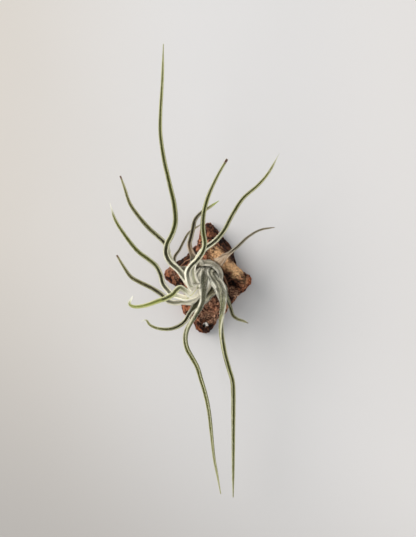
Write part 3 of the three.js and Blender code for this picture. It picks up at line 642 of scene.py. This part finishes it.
def tree_of(pieces):
    places, faces = [], []
    for piece in pieces:
        start = len(places)
        places += [corner.co.copy() for corner in piece.data.vertices]
        faces += [[start + corner for corner in face.vertices] for face in piece.data.polygons]
    return BVHTree.FromPolygons(places, faces)


def tucked_in(mesh, tree):
    """From 0 in the open to 1 deep in a fold, for every point of a leaf."""
    amounts = np.zeros(len(mesh.vertices), np.float32)
    tipward, reach = mesh.attributes["tipward"].data, mesh.attributes["reach"].data
    for number, point in enumerate(mesh.vertices):
        if reach[number].value > FOLDS_TO:
            continue
        along_leaf = Vector(tipward[number].vector)
        aside = point.normal.cross(along_leaf)
        for forward, sideways in LOOK_AROUND:
            way = (point.normal + forward * along_leaf + sideways * aside).normalized()
            distance = tree.ray_cast(point.co + LOOK_FROM * way, way, FOLD_REACH)[3]
            if distance is not None:
                amounts[number] += (1 - distance / FOLD_REACH) / len(LOOK_AROUND)
    return amounts


leaves_tree = tree_of(fine_leaves.values())
for name, fine_leaf in fine_leaves.items():
    tucked = tucked_in(fine_leaf.data, leaves_tree)
    carry(fine_leaf.data, "tucked", tucked)
    print(name, "deepest", round(float(tucked.max()), 2), "mean", round(float(tucked.mean()), 3))

# %% [markdown]
# ## The finish of a leaf
#
# Under its frost the leaf is green, with painted shade darkest at the bottom of the channel. The scales lie
# in fine rows along the leaf and are thickest on margins and sheaths. Painted shade darkens the crevices,
# soft blotches and the folds where one leaf is tucked under another, old leaves fade to brown, and milky
# feet get a faint painted glow, which lights them where they lie in shade.

# %% Leaf finish
TIPS = {"pale_tip": (0.9, 0.98, (236, 234, 222)), "fresh_tip": (0.8, 1.0, (160, 174, 88)),
        "rust": (0.96, 0.985, (92, 56, 44))}


def rows_along(made, across, reach, third, **settings):
    rows = {"X": made.mask("across") * across, "Y": made.mask("reach") * reach, "Z": third}
    return made.grain(made.node("ShaderNodeCombineXYZ", rows), 1.0, **settings)


def leaf_finish():
    made = Finish("leaf")
    mask, mix, band = made.mask, made.mix, made.band
    near, green, old, reach = (mask(name) for name in ("near", "green", "old", "reach"))
    milky = mask("milky") * near
    inside = band(mask("depth"), 0.35, 0.9)
    place = made.place()
    blotches = made.grain(place, 6 * MM) - 0.5
    specks = made.grain(place, 0.6 * MM, detail=3) - 0.5
    streaks = rows_along(made, 9, 0.16, inside * 3, detail=4, roughness=0.65)
    broad = rows_along(made, 3.2, 0.1, green * 20, detail=2)
    lines = band(streaks * 0.45 + broad * 0.55 + 0.3 * blotches, 0.4, 0.6)
    # the back, with dark stripes on some sheaths
    back = mix(lines, mix(green, (82, 80, 48), (86, 94, 36)), mix(green, (130, 126, 88), (136, 142, 72)))
    back = mix(mask("on_bulb"), back, mix(lines, (120, 113, 88), (232, 223, 198)))
    stripe = mask("stripe") * band(streaks, 0.15, 0.45)
    back = mix(stripe, back, (62, 64, 40))
    # the channel, with painted shade darkest at its bottom; lean moves that shade to one side of the middle
    aside = mask("across") - mask("lean") * near
    aside = aside * aside
    deep = mix(near, mix(green, (76, 71, 32), (96, 106, 30)), (84, 88, 62))
    wall = mix(near, mix(green, (98, 92, 48), (122, 130, 52)), (168, 166, 136))
    channel = mix(band(aside, 0.05, 0.5) + 0.4 * (streaks - 0.5), deep, wall)
    skin = mix(inside, back, channel)
    skin = mix(mask("bright") * 0.85, skin, mix(lines, (144, 152, 66), (178, 180, 110)))
    skin = mix(old * 0.85, skin, mix(lines, (84, 72, 62), (150, 136, 120)))
    # the frost
    coat = band(mask("white") * (0.25 + 0.5 * near) + 0.6 * (streaks - 0.5) + 0.4 * specks, 0.12, 1.0)
    coat = coat * (1 - inside * (0.85 - 0.55 * near)) * (1 - 0.5 * old) * (1 - 0.6 * stripe)
    skin = mix(coat, skin, (232, 226, 204))
    # with lean, the white of one margin runs wider than the other's, a painted highlight
    rim = band(aside, 0.74 - 0.6 * near, 0.95 - 0.4 * near) * (0.34 + 0.64 * near + 0.4 * specks)
    rim = rim * (1 - 0.55 * old) * (0.6 + mask("white"))
    skin = mix(rim, skin, mix(near, (226, 222, 178), (252, 246, 228)))
    # painted shade: dark lines in the crevices among the pleats of a sheath, soft blotches, and the folds
    # between leaves
    folds = rows_along(made, 2.6, 0.07, mask("seed"), detail=1.5, distortion=0.2) - 0.5
    # painted shade: thin dark lines in the crevices among the pleats
    crevice = band(folds * folds, 0.0016, 0.0) * band(near, 0.8, 1.0) * (1 - milky)
    skin = mix(crevice * 0.8, skin, (58, 48, 32))
    # soft dark blotches, painted shade between the leaf bases
    blotch_shade = band(made.grain(place, 3.4 * MM, detail=1.5), 0.53, 0.38) * near * (1 - milky)
    skin = mix(blotch_shade * 0.55, skin, (84, 80, 60))
    # painted shade in the folds where one leaf lies tucked under another
    tuck = band(mask("tucked") + 0.12 * blotches, 0.16, 0.5) * (1 - 0.6 * milky)
    skin = mix(tuck * 0.8, skin, (66, 60, 42))
    # milky feet, papery sheaths and tips
    snowy = mix(band(mask("across") * mask("across"), 0.0, 0.03), (176, 186, 92), (248, 243, 228))
    skin = mix(milky * band(reach, 26, 6), skin, snowy)
    skin = mix(mask("papery") * 0.9, skin, mix(lines, (150, 118, 90), (232, 206, 176)))
    for look, (start, end, tint) in TIPS.items():
        skin = mix(band(mask("along"), start, end) * mask(look), skin, tint)
    # painted light: a faint glow on the milky feet, which brightens them where they lie in shade
    painted_glow = mix(milky * band(reach, 30, 8), (0, 0, 0), (142, 138, 128))
    return made.done(streaks * 0.6 + specks * 0.2 - 0.6 * crevice, 0.2 * MM, 0.9, Base_Color=skin,
                     Emission_Color=painted_glow, Emission_Strength=1.0, Roughness=0.74 - 0.14 * inside,
                     Specular_IOR_Level=0.3)


LEAF = leaf_finish()
for fine_leaf in fine_leaves.values():
    fine_leaf.data.materials.append(LEAF)
print("leaf finish, nodes:", len(LEAF.node_tree.nodes))

# %% [markdown]
# ## Frost
#
# The scales stand out like tiny pale feathers, half a millimetre long. One slim flake of four faces is set
# out by a Geometry Nodes network that leans each copy towards the leaf's tip. The copies are made real,
# because instances are dropped from an exported model.

# %% One flake
FLAKE_LENGTH = 0.55 * MM
FLAKE_HALF_WIDTH = 0.065 * MM


def frost_finish():
    made = Finish("frost")
    warmth = made.grain(made.place(), 4 * MM, detail=2)
    far_white = made.mix(warmth, (224, 222, 188), (242, 240, 222))
    near_white = made.mix(warmth, (232, 230, 210), (248, 247, 238))
    white = made.mix(made.mask("near"), far_white, near_white)
    aged = made.mix(made.mask("old") * 0.7, white, (160, 148, 130))
    return made.done(Base_Color=aged, Roughness=0.6, Specular_IOR_Level=0.3)


shape = bmesh.new()
bmesh.ops.create_cone(shape, cap_ends=True, cap_tris=False, segments=3, radius1=FLAKE_HALF_WIDTH,
                      radius2=0, depth=FLAKE_LENGTH)
bmesh.ops.translate(shape, verts=shape.verts, vec=(0, 0, 0.42 * FLAKE_LENGTH))
bmesh.ops.scale(shape, verts=shape.verts, vec=(1, 0.5, 1))
flake = add("flake", mesh_from(shape, "flake"))
flake.data.materials.append(frost_finish())
print("flake faces:", len(flake.data.polygons))

# %% The network that strews flakes over a leaf
FLAKES_PER_MM2 = 14  # where the fuzz is thickest
LEANING = 0.7  # towards the tip, where upright is 1
CHANCE = 0.75  # to any side
SMALLEST = 0.55
LARGEST = 1.25


def strewing(name, seed):
    net = Wiring(bpy.data.node_groups.new(name, "GeometryNodeTree"))
    for way in ("INPUT", "OUTPUT"):
        net.tree.interface.new_socket("Geometry", in_out=way, socket_type="NodeSocketGeometry")
    surface = net.node("NodeGroupInput", {})
    fuzz = net.node("GeometryNodeInputNamedAttribute", {"Name": "fuzz"}, data_type="FLOAT")
    tipward = net.node("GeometryNodeInputNamedAttribute", {"Name": "tipward"}, data_type="FLOAT_VECTOR")
    spots = net.node("GeometryNodeDistributePointsOnFaces", {
        "Mesh": surface, "Density": fuzz * (FLAKES_PER_MM2 / MM ** 2), "Seed": seed},
        distribute_method="RANDOM")
    anyway = net.node("FunctionNodeRandomValue", {0: (-1, -1, -1), 1: (1, 1, 1), "Seed": seed + 1},
                      data_type="FLOAT_VECTOR")
    way = spots.also("Normal")
    for pull, amount in ((tipward, LEANING), (anyway, CHANCE)):
        way = net.node("ShaderNodeVectorMath", {0: pull, 1: (amount,) * 3, 2: way},
                       operation="MULTIPLY_ADD")
    turn = net.node("FunctionNodeAlignRotationToVector", {"Vector": way}, axis="Z")
    size = net.node("FunctionNodeRandomValue", {2: SMALLEST, 3: LARGEST, "Seed": seed + 2}, 1,
                    data_type="FLOAT")
    source = net.node("GeometryNodeObjectInfo", {"Object": flake}, "Geometry")
    copies = net.node("GeometryNodeInstanceOnPoints", {
        "Points": spots, "Instance": source, "Rotation": turn, "Scale": size})
    real = net.node("GeometryNodeRealizeInstances", {"Geometry": copies})
    both = net.node("GeometryNodeJoinGeometry", {0: real})
    net.feed(both.socket.node.inputs[0], surface)
    net.node("NodeGroupOutput", {0: both})
    return net.tree


def apply_modifiers(piece):
    now = bpy.context.evaluated_depsgraph_get()
    shown = piece.evaluated_get(now)
    mesh = bpy.data.meshes.new_from_object(shown, preserve_all_data_layers=True, depsgraph=now)
    piece.modifiers.clear()
    old = piece.data
    piece.data = mesh
    bpy.data.meshes.remove(old)


def triangles(mesh):
    return sum(len(face.vertices) - 2 for face in mesh.polygons)


def stand_in(piece, node):
    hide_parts(node)
    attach(piece, "root")
    print(piece.name, "triangles", triangles(piece.data))


def frosted(piece, seed):
    piece.modifiers.new("frost", "NODES").node_group = strewing("frost_" + piece.name, seed)
    apply_modifiers(piece)


for number, (name, fine_leaf) in enumerate(fine_leaves.items()):
    frosted(fine_leaf, 10 * number)
    stand_in(fine_leaf, name)

# %% [markdown]
# ## The young spear
#
# The next leaf stands rolled up tight in the heart of the plant. It is rolled like the others, along a
# straight line on the bulb's axis, with margins that almost meet.

# %% Young spear
SPEAR_RADIUS = 0.75
SPEAR_LENGTH = 18
SPEAR_START = 8.82
SPEAR_CURL = 2.85
SPEAR_WALL = 0.34
SPEAR_STATIONS = 41


def spear_station():
    share = np.linspace(0, 1, SPEAR_STATIONS)
    ones = np.ones(SPEAR_STATIONS)
    closing = np.sqrt(np.clip(1 - share ** 4, 0.02, 1))
    at = BULB_FOOT + np.outer(SPEAR_START + SPEAR_LENGTH * share, BULB_AXIS)
    return dict(at=at, tangent=np.outer(ones, BULB_AXIS), back=np.outer(ones, TURN_ZERO),
                away=share * SPEAR_LENGTH, along=share, change=ones, radius=SPEAR_RADIUS * closing,
                curl=SPEAR_CURL * ones, wall=SPEAR_WALL * ones)


spear_looks = dict(tip=0.4, green=0.7, white=0.8)
spear = add("young_spear_fine", rolled_mesh("young_spear_fine", spear_looks, spear_station(), 55.0))
spear.data.materials.append(LEAF)
frosted(spear, 400)
stand_in(spear, "young_spear")
bpy.data.objects.remove(flake)

# %% [markdown]
# ## Cork bark
#
# The solid has the bark's lobes, its ridge like a log and its hollows, in flat facets. A voxel remesh turns
# them into an even, fine net, and every point of it moves in or out by noise. Which noise counts where is
# told by patches, named by what the bark is like there.

# %% A fine copy of a solid
def fine_copy(node, name, voxel, rounds):
    """An even net round a solid, with its edges softened in several rounds."""
    shape = bmesh.new()
    shape.from_mesh(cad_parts[node].data)
    bmesh.ops.remove_doubles(shape, verts=shape.verts, dist=0.5 * WELD)
    piece = add(name, mesh_from(shape, name))
    even = piece.modifiers.new("even", "REMESH")
    even.mode = "VOXEL"
    even.voxel_size = voxel
    soften = piece.modifiers.new("soften", "SMOOTH")
    soften.factor = 0.5
    soften.iterations = rounds
    apply_modifiers(piece)
    piece.data.materials.clear()
    print(name, "points", len(piece.data.vertices))
    return piece


def move_points(mesh, relief):
    """Moves every point straight out by its height in the relief, and carries the relief's masks."""
    points = rows_of(mesh.vertices, "co") / MM
    height, masks = relief(points)
    put(mesh, points + rows_of(mesh.vertex_normals, "vector") * height[:, None])
    for name, values in masks.items():
        carry(mesh, name, values)
    print("points moved:", len(points), "by up to", round(float(abs(height).max()), 2), "mm")


bark = fine_copy("cork_bark", "cork_bark_fine", 0.35 * MM, 7)

# %% What the bark is like, patch by patch
# Each patch lies between two places, in millimetres seen from above, and fades over its width
BARK_PATCHES = {
    "tan": [((5, 14.5), (17.5, 3.5), 4.6, 1.0), ((1, 19), (5, 14), 3.2, 0.75), ((19, 1), (24, -3), 3, 0.35)],
    "porous": [((0, 20), (6, 12.5), 3.4, 1.0), ((20, 2), (26, -3.5), 4.6, 1.0),
        ((15, -4), (22, -8), 3, 0.6)],
    # dark: partly the cork's own dark colour, partly painted shade in its hollows, such as the one under the
    # log
    "dark": [((-26, 3), (-21, -3), 5, 0.5), ((-15, -14), (-12, -20), 3, 0.35),
        ((10, 23.5), (16, 13.5), 4.4, 1.2), ((10, 0), (15, -9), 5.2, 0.95),
        ((-18, 11), (-12, 14.5), 5.2, 1.0), ((-3, -29.5), (3, -32), 5.2, 0.75),
        ((2, 31), (5, 26), 3.4, 0.7)],
    "smooth": [((10.5, 23), (15.5, 13.5), 3.4, 1.0), ((7, 13.5), (17.5, 3.5), 3.6, 0.8)],
    "rust": [((-5, 33), (-5.5, 25), 2.4, 1.0), ((27, -1), (26, -5), 2.2, 0.9),
        ((12, -18.5), (14, -22), 2.4, 1.0), ((-15.5, -14), (-13, -19), 2.6, 0.25),
        ((-27, 4), (-24, -2), 2.4, 0.2), ((-7, -31), (-5, -34), 2, 0.6), ((24, -8), (17, -15), 1.8, 0.6)],
    "pale": [((-5, -22), (4.5, -25.5), 3.0, 1.0), ((-6, -14), (8, -18), 4.5, 0.5),
        ((15.5, -8.5), (21, -14.5), 2.6, 1.0), ((-24, 6), (-20, 1), 2, 0.4)],
}


def patch(points, name):
    amount = np.zeros(len(points))
    for start, end, wide, strength in BARK_PATCHES[name]:
        start, line = np.array(start, float), np.array(end, float) - start
        share = np.clip((points[:, :2] - start) @ line / (line @ line), 0, 1)
        away = np.linalg.norm(points[:, :2] - start - np.outer(share, line), axis=1)
        amount = np.maximum(amount, strength * np.exp(-(away / wide) ** 4))
    return np.minimum(amount, 1)


# %% Kinds of noise
LOG_WAY = unit(np.array([0.66, -0.75, 0.0]))
LOG_SIDE = np.array([0.75, 0.66, 0.0])
noise.seed_set(7)  # or noise_vector differs from run to run


def noise_of(points, size, shift, octaves=1):
    """Noise from about -1 to 1 at every point; octaves adds finer and finer copies of it."""
    return np.array([noise.fractal(Vector(place), 0.9, 2.1, octaves) for place in points / size + shift])


def along_log(points, stretch):
    """The same points, drawn together along the log, so that what is made there comes out long."""
    return np.stack([points @ LOG_WAY / stretch, points @ LOG_SIDE, points[:, 2]], axis=1)


def chips_of(points, size, shift):
    """Flat, tilted chips: how high a point lies, its chip's number, and how near an edge it is."""
    heights, numbers, edges = [], [], []
    for place in points / size + shift:
        place = Vector(place)
        distances, centres = noise.voronoi(place)
        tilt = noise.noise_vector(centres[0] * 7.3)
        heights.append(noise.noise(centres[0] * 5.1) * 1.2 + 1.6 * tilt.dot(place - centres[0]))
        numbers.append(noise.noise(centres[0] * 9.7))
        edges.append(distances[1] - distances[0])
    return np.array(heights), np.array(numbers), 1 - smooth_step(np.array(edges), 0.0, 0.16)


def pits_of(points, size, shift):
    nearest = [noise.voronoi(Vector(place))[0][0] for place in points / size + shift]
    return 1 - smooth_step(np.array(nearest), 0.1, 0.4)


# %% The roughness of the bark
HOLE_X = -1.3
HOLE_Y = -28.7


def light_round_hole(points):
    """Painted light round the small hole through the lobe at the bottom: a pale rim for the light coming
    through it.
    """
    away = np.hypot(points[:, 0] - HOLE_X, points[:, 1] - HOLE_Y)
    return 1 - smooth_step(away + 0.5 * noise_of(points, 0.8, 3.1, 2), 1.0, 1.6)


def bark_relief(points):
    warp = np.stack([noise_of(points, 3.0, shift, 3) for shift in (3.3, 9.1, 14.7)], axis=1)
    masks = {name: patch(points + warp * 1.6, name) for name in BARK_PATCHES}
    upper = smooth_step(points[:, 2] + 2.5 * warp[:, 0], 5, 12)
    masks["tan"] *= upper
    masks["smooth"] *= upper
    bent = along_log(points + warp * 0.7, 1.5)
    lumps = noise_of(points, 7, 1.7, 2)
    crumbs = noise_of(points + warp, 1.1, 5.2, 4)
    big, big_number, big_edge = chips_of(bent, 3.4, 8.4)
    small, small_number, small_edge = chips_of(bent, 1.5, 2.2)
    pits = masks["porous"] * pits_of(points + warp * 0.6, 1.9, 4.4)
    ridges = noise_of(along_log(points, 8), 1.1, 6.6, 3)
    rough = 1 - 0.85 * masks["smooth"]
    cracks = np.clip(0.9 * big_edge + 0.5 * small_edge, 0, 1)
    height = rough * (0.4 * lumps + 0.55 * big + 0.42 * small + 0.3 * crumbs - 0.4 * cracks)
    height += masks["tan"] * 0.2 * ridges - 0.8 * pits
    height *= smooth_step(points[:, 2], 0.3, 2.5)
    # deep is painted shade for cracks and pits, and high paints raised points lighter and low ones darker
    deep = np.clip(0.75 * cracks * rough + pits - 0.3 * crumbs * rough, 0, 1)
    chip = np.clip(0.5 + 0.6 * big_number + 0.6 * small_number, 0, 1)
    high = np.clip(0.5 + 0.5 * height, 0, 1)
    return height, dict(masks, deep=deep, high=high, chip=chip, hole_light=light_round_hole(points))


move_points(bark.data, bark_relief)

# %% [markdown]
# ## The finish of the bark
#
# The same patches colour it: red-brown and crumbly all over, a golden skin on the log, dark patches that
# are partly the cork's own colour and partly painted shade in its hollows, rusty broken edges and pale
# fibres. Masks of the roughening paint shade into cracks and pits and paint raised points lighter, and a
# Gamma node deepens all tones.

# %% Bark finish
def bark_finish():
    made = Finish("cork_bark")
    mask, mix, band, grain = made.mask, made.mix, made.band, made.grain
    place = made.place()
    coarse = grain(place, 2.6 * MM, detail=5, roughness=0.6, distortion=0.6)
    medium = grain(place, 1.1 * MM, detail=4, roughness=0.6, distortion=0.4)
    fine = grain(place, 0.45 * MM, detail=5, roughness=0.65)
    fibres = grain(made.place((0.16, 1, 1), (0, 0, 0.85)), 0.55 * MM, detail=4, roughness=0.6)
    shake = {"Vector": place, "Scale": 1 / (1.4 * MM), "Detail": 3}
    shift = {0: made.node("ShaderNodeTexNoise", shake, "Color"), 1: (1.1 * MM,) * 3, 2: place}
    shaken = made.node("ShaderNodeVectorMath", shift, operation="MULTIPLY_ADD")
    cells = {"Vector": shaken, "Scale": 1 / (1.2 * MM)}
    crumb = made.node("ShaderNodeTexVoronoi", cells, "Color")
    gap = made.node("ShaderNodeTexVoronoi", cells, "Distance", feature="DISTANCE_TO_EDGE")
    seam = band(gap, 0.09, 0.0) * band(coarse, 0.42, 0.6)
    seam = seam * (1 - 0.8 * mask("smooth")) * (1 - 0.6 * mask("tan"))
    grit = coarse * 0.25 + medium * 0.3 + fine * 0.3 + crumb * 0.15
    # raised points painted lighter and low ones darker, and each chip and crumb a tone of its own
    lift = 0.4 * (mask("high") - 0.5) + 0.45 * (mask("chip") - 0.5) + 0.15 * (crumb - 0.5)
    tone = band(grit + lift, 0.38, 0.6)
    log_tone = band(fibres * 0.4 + medium * 0.6, 0.28, 0.56)
    pale_tone = band(fibres * 0.45 + medium * 0.45 + 0.1 * crumb, 0.42, 0.58)
    skin = mix(tone, (60, 28, 19), (194, 135, 104))
    for name, share, low, high in (
            ("tan", log_tone, (150, 98, 60), (248, 206, 160)),
            ("dark", tone, (34, 14, 8), (106, 68, 46)),
            ("rust", tone, (112, 48, 26), (222, 146, 100)),
            ("pale", pale_tone, (84, 46, 32), (250, 204, 172))):
        skin = mix(mask(name), skin, mix(share, low, high))
    # painted shade in cracks and pits
    skin = mix(mask("deep") * 0.85, skin, (30, 15, 10))
    skin = mix(seam * 0.55, skin, (34, 17, 11))
    skin = made.node("ShaderNodeGamma", {"Color": skin, "Gamma": 1.18})
    # painted light: a pale rim round the small hole, for the light that comes through it
    skin = mix(mask("hole_light"), skin, (252, 246, 238))
    height = fine * 0.45 + coarse * 0.3 + crumb * 0.25 - 0.25 * seam
    return made.done(height, 0.5 * MM, 0.9, Base_Color=skin, Roughness=0.88, Specular_IOR_Level=0.25)


bark.data.materials.append(bark_finish())
stand_in(bark, "cork_bark")

# %% [markdown]
# ## Stem and roots
#
# A few wiry brown roots run from under the bulb over the bark. They get an even net too, with a little
# knobbliness and a mottled brown finish.

# %% Stem and roots
def knobs(points):
    return 0.09 * noise_of(points, 1.1, 3.0, 3) + 0.12 * noise_of(points, 3.0, 7.0, 1), {}


def root_finish():
    made = Finish("roots")
    place = made.place()
    coarse = made.grain(place, 2.5 * MM, detail=4)
    fine = made.grain(place, 0.35 * MM, detail=4, roughness=0.65)
    tone = made.band(coarse * 0.5 + fine * 0.5, 0.35, 0.65)
    skin = made.mix(tone, (92, 62, 44), (176, 132, 102))
    return made.done(fine, 0.2 * MM, 0.8, Base_Color=skin, Roughness=0.8, Specular_IOR_Level=0.3)


roots = fine_copy("stem_and_roots", "stem_and_roots_fine", 0.25 * MM, 5)
move_points(roots.data, knobs)
roots.data.materials.append(root_finish())
stand_in(roots, "stem_and_roots")

# %% [markdown]
# ## Curled fibres
#
# Dry fibres of old roots and torn cork lie curled over the bark. Each is a round tube along a small arc,
# and a ray straight down finds the bark under every point of the arc.

# %% Laying an arc on the bark
UNDER = tree_of([bark])
ARC_POINTS = 13


def arc_on_bark(x, y, size, start, sweep, lift):
    points = []
    for share in np.linspace(0, 1, ARC_POINTS):
        turn = math.radians(start + sweep * share)
        wide = size * (1 - 0.35 * share)
        place = x + wide * math.cos(turn), y + wide * math.sin(turn)
        hit = UNDER.ray_cast(Vector((*place, 100)) * MM, Vector((0, 0, -1)))[0]
        if hit is None:
            break
        points.append((*place, hit.z / MM + 0.1 + lift * math.sin(math.pi * share)))
    return np.array(points)


print("faces under the arcs:", len(bark.data.polygons))

# %% The fibres
# Each has its middle, its size, where it starts and how far it sweeps in degrees, and its lift
FIBRES = [(-1.5, -24, 3.4, 20, 150, 0.5), (-0.5, -24.5, 4.2, 30, 120, 0.4), (0.5, -25, 5, 35, 95, 0.4),
          (-3.5, -26, 2.6, 60, 190, 0.6), (3.5, -23, 2.4, -40, 170, 0.7), (-5, -22.5, 2.8, 100, 150, 0.5),
          (1.8, -25.6, 2.8, 10, 120, 0.3), (-1, -22.5, 2.2, 10, 160, 0.6), (1.5, -24, 3.8, 60, 90, 0.4),
          (-4, -24, 3.4, 40, 110, 0.4), (17, -11, 3.5, 40, 120, 0.4)]
FIBRE_RADIUS = 0.22
FIBRE_SIDES = 6
FEWEST_POINTS = 6


def fibre_mesh(points):
    """A tapering tube along the points, with both ends drawn to a close."""
    mesh, column, row = grid_mesh("fibre", FIBRE_SIDES, len(points) - 1)
    way = np.gradient(points, axis=0)
    side = unit(np.cross(way, (0, 0, 1)))
    over = unit(np.cross(side, way))
    taper = np.sin(math.pi * (0.08 + 0.84 * row / (len(points) - 1)))[:, None]
    turn = (2 * math.pi * column / FIBRE_SIDES)[:, None]
    out = side[row] * np.cos(turn) + over[row] * np.sin(turn)
    put(mesh, points[row] + out * FIBRE_RADIUS * (0.35 + 0.65 * taper))
    close_up(mesh)
    return mesh


def fibre_finish():
    made = Finish("fibres")
    grain = made.band(made.grain(made.place(), 0.8 * MM, detail=4), 0.3, 0.7)
    skin = made.mix(grain, (112, 70, 50), (214, 162, 132))
    return made.done(Base_Color=skin, Roughness=0.8, Specular_IOR_Level=0.3)


shape = bmesh.new()
for points in (arc_on_bark(*fibre) for fibre in FIBRES):
    if len(points) >= FEWEST_POINTS:
        mesh = fibre_mesh(points)
        shape.from_mesh(mesh)
        bpy.data.meshes.remove(mesh)
fibres = add("curled_fibres", mesh_from(shape, "curled_fibres"))
fibres.data.materials.append(fibre_finish())
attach(fibres, "root")
print("curled fibres, triangles", triangles(fibres.data))

# %% [markdown]
# ## Floor and light
#
# A pale floor with painted light and shade, darker and warmer to the left, lighter to the right and darkest
# towards the lower left corner, one wide soft light from the upper left, and an even pale surrounding that
# keeps the shadows open, as in a bright room.

# %% Floor
FLOOR_SIZE = 6.0


def floor_paint():
    made = Finish("floor_paint")
    mix, band, place = made.mix, made.band, made.place()
    cloud = made.grain(place, 60 * MM, detail=2)
    side = made.node("ShaderNodeSeparateXYZ", {"Vector": place})
    # painted light and shade: darker and warmer to the left, lighter to the right, darker still towards the
    # lower left corner
    left = mix(cloud, (198, 192, 184), (200, 194, 187))
    middle = mix(cloud, (209, 207, 206), (211, 209, 208))
    tint = mix(band(side, -0.16, 0.0), left, middle)
    tint = mix(band(side, 0.04, 0.13), tint, (215, 212, 210))
    tint = mix(band(-0.55 * side - 0.83 * side.also("Y"), 0.02, 0.24), tint, (170, 166, 162))
    return made.done(Base_Color=tint, Roughness=0.75, Specular_IOR_Level=0.2)


shape = bmesh.new()
bmesh.ops.create_grid(shape, x_segments=1, y_segments=1, size=FLOOR_SIZE / 2)
floor = add("floor", mesh_from(shape, "floor"))
floor.data.materials.append(floor_paint())
print("floor is", FLOOR_SIZE, "m across")

# %% Light
LAMP_PLACE = Vector((-2.0, 0.9, 1.7))
LAMP_AIM = Vector((0, 0, 0.02))

window = bpy.data.lights.new("window", "AREA")
window.shape = "SQUARE"
window.size = 2.0
window.energy = 80
window.color = (1.0, 0.972, 0.95)
lamp = add("window", window, LAMP_PLACE)
lamp.rotation_euler = (LAMP_AIM - LAMP_PLACE).to_track_quat("-Z", "Y").to_euler()
world = bpy.data.worlds.new("room")
world.use_nodes = True
surrounding = world.node_tree.nodes["Background"].inputs
surrounding["Color"].default_value = (0.94, 0.97, 0.985, 1)
surrounding["Strength"].default_value = 0.65
scene.world = world
scene.view_settings.view_transform = "Standard"
print("lamp turned by:", [round(math.degrees(angle)) for angle in lamp.rotation_euler])
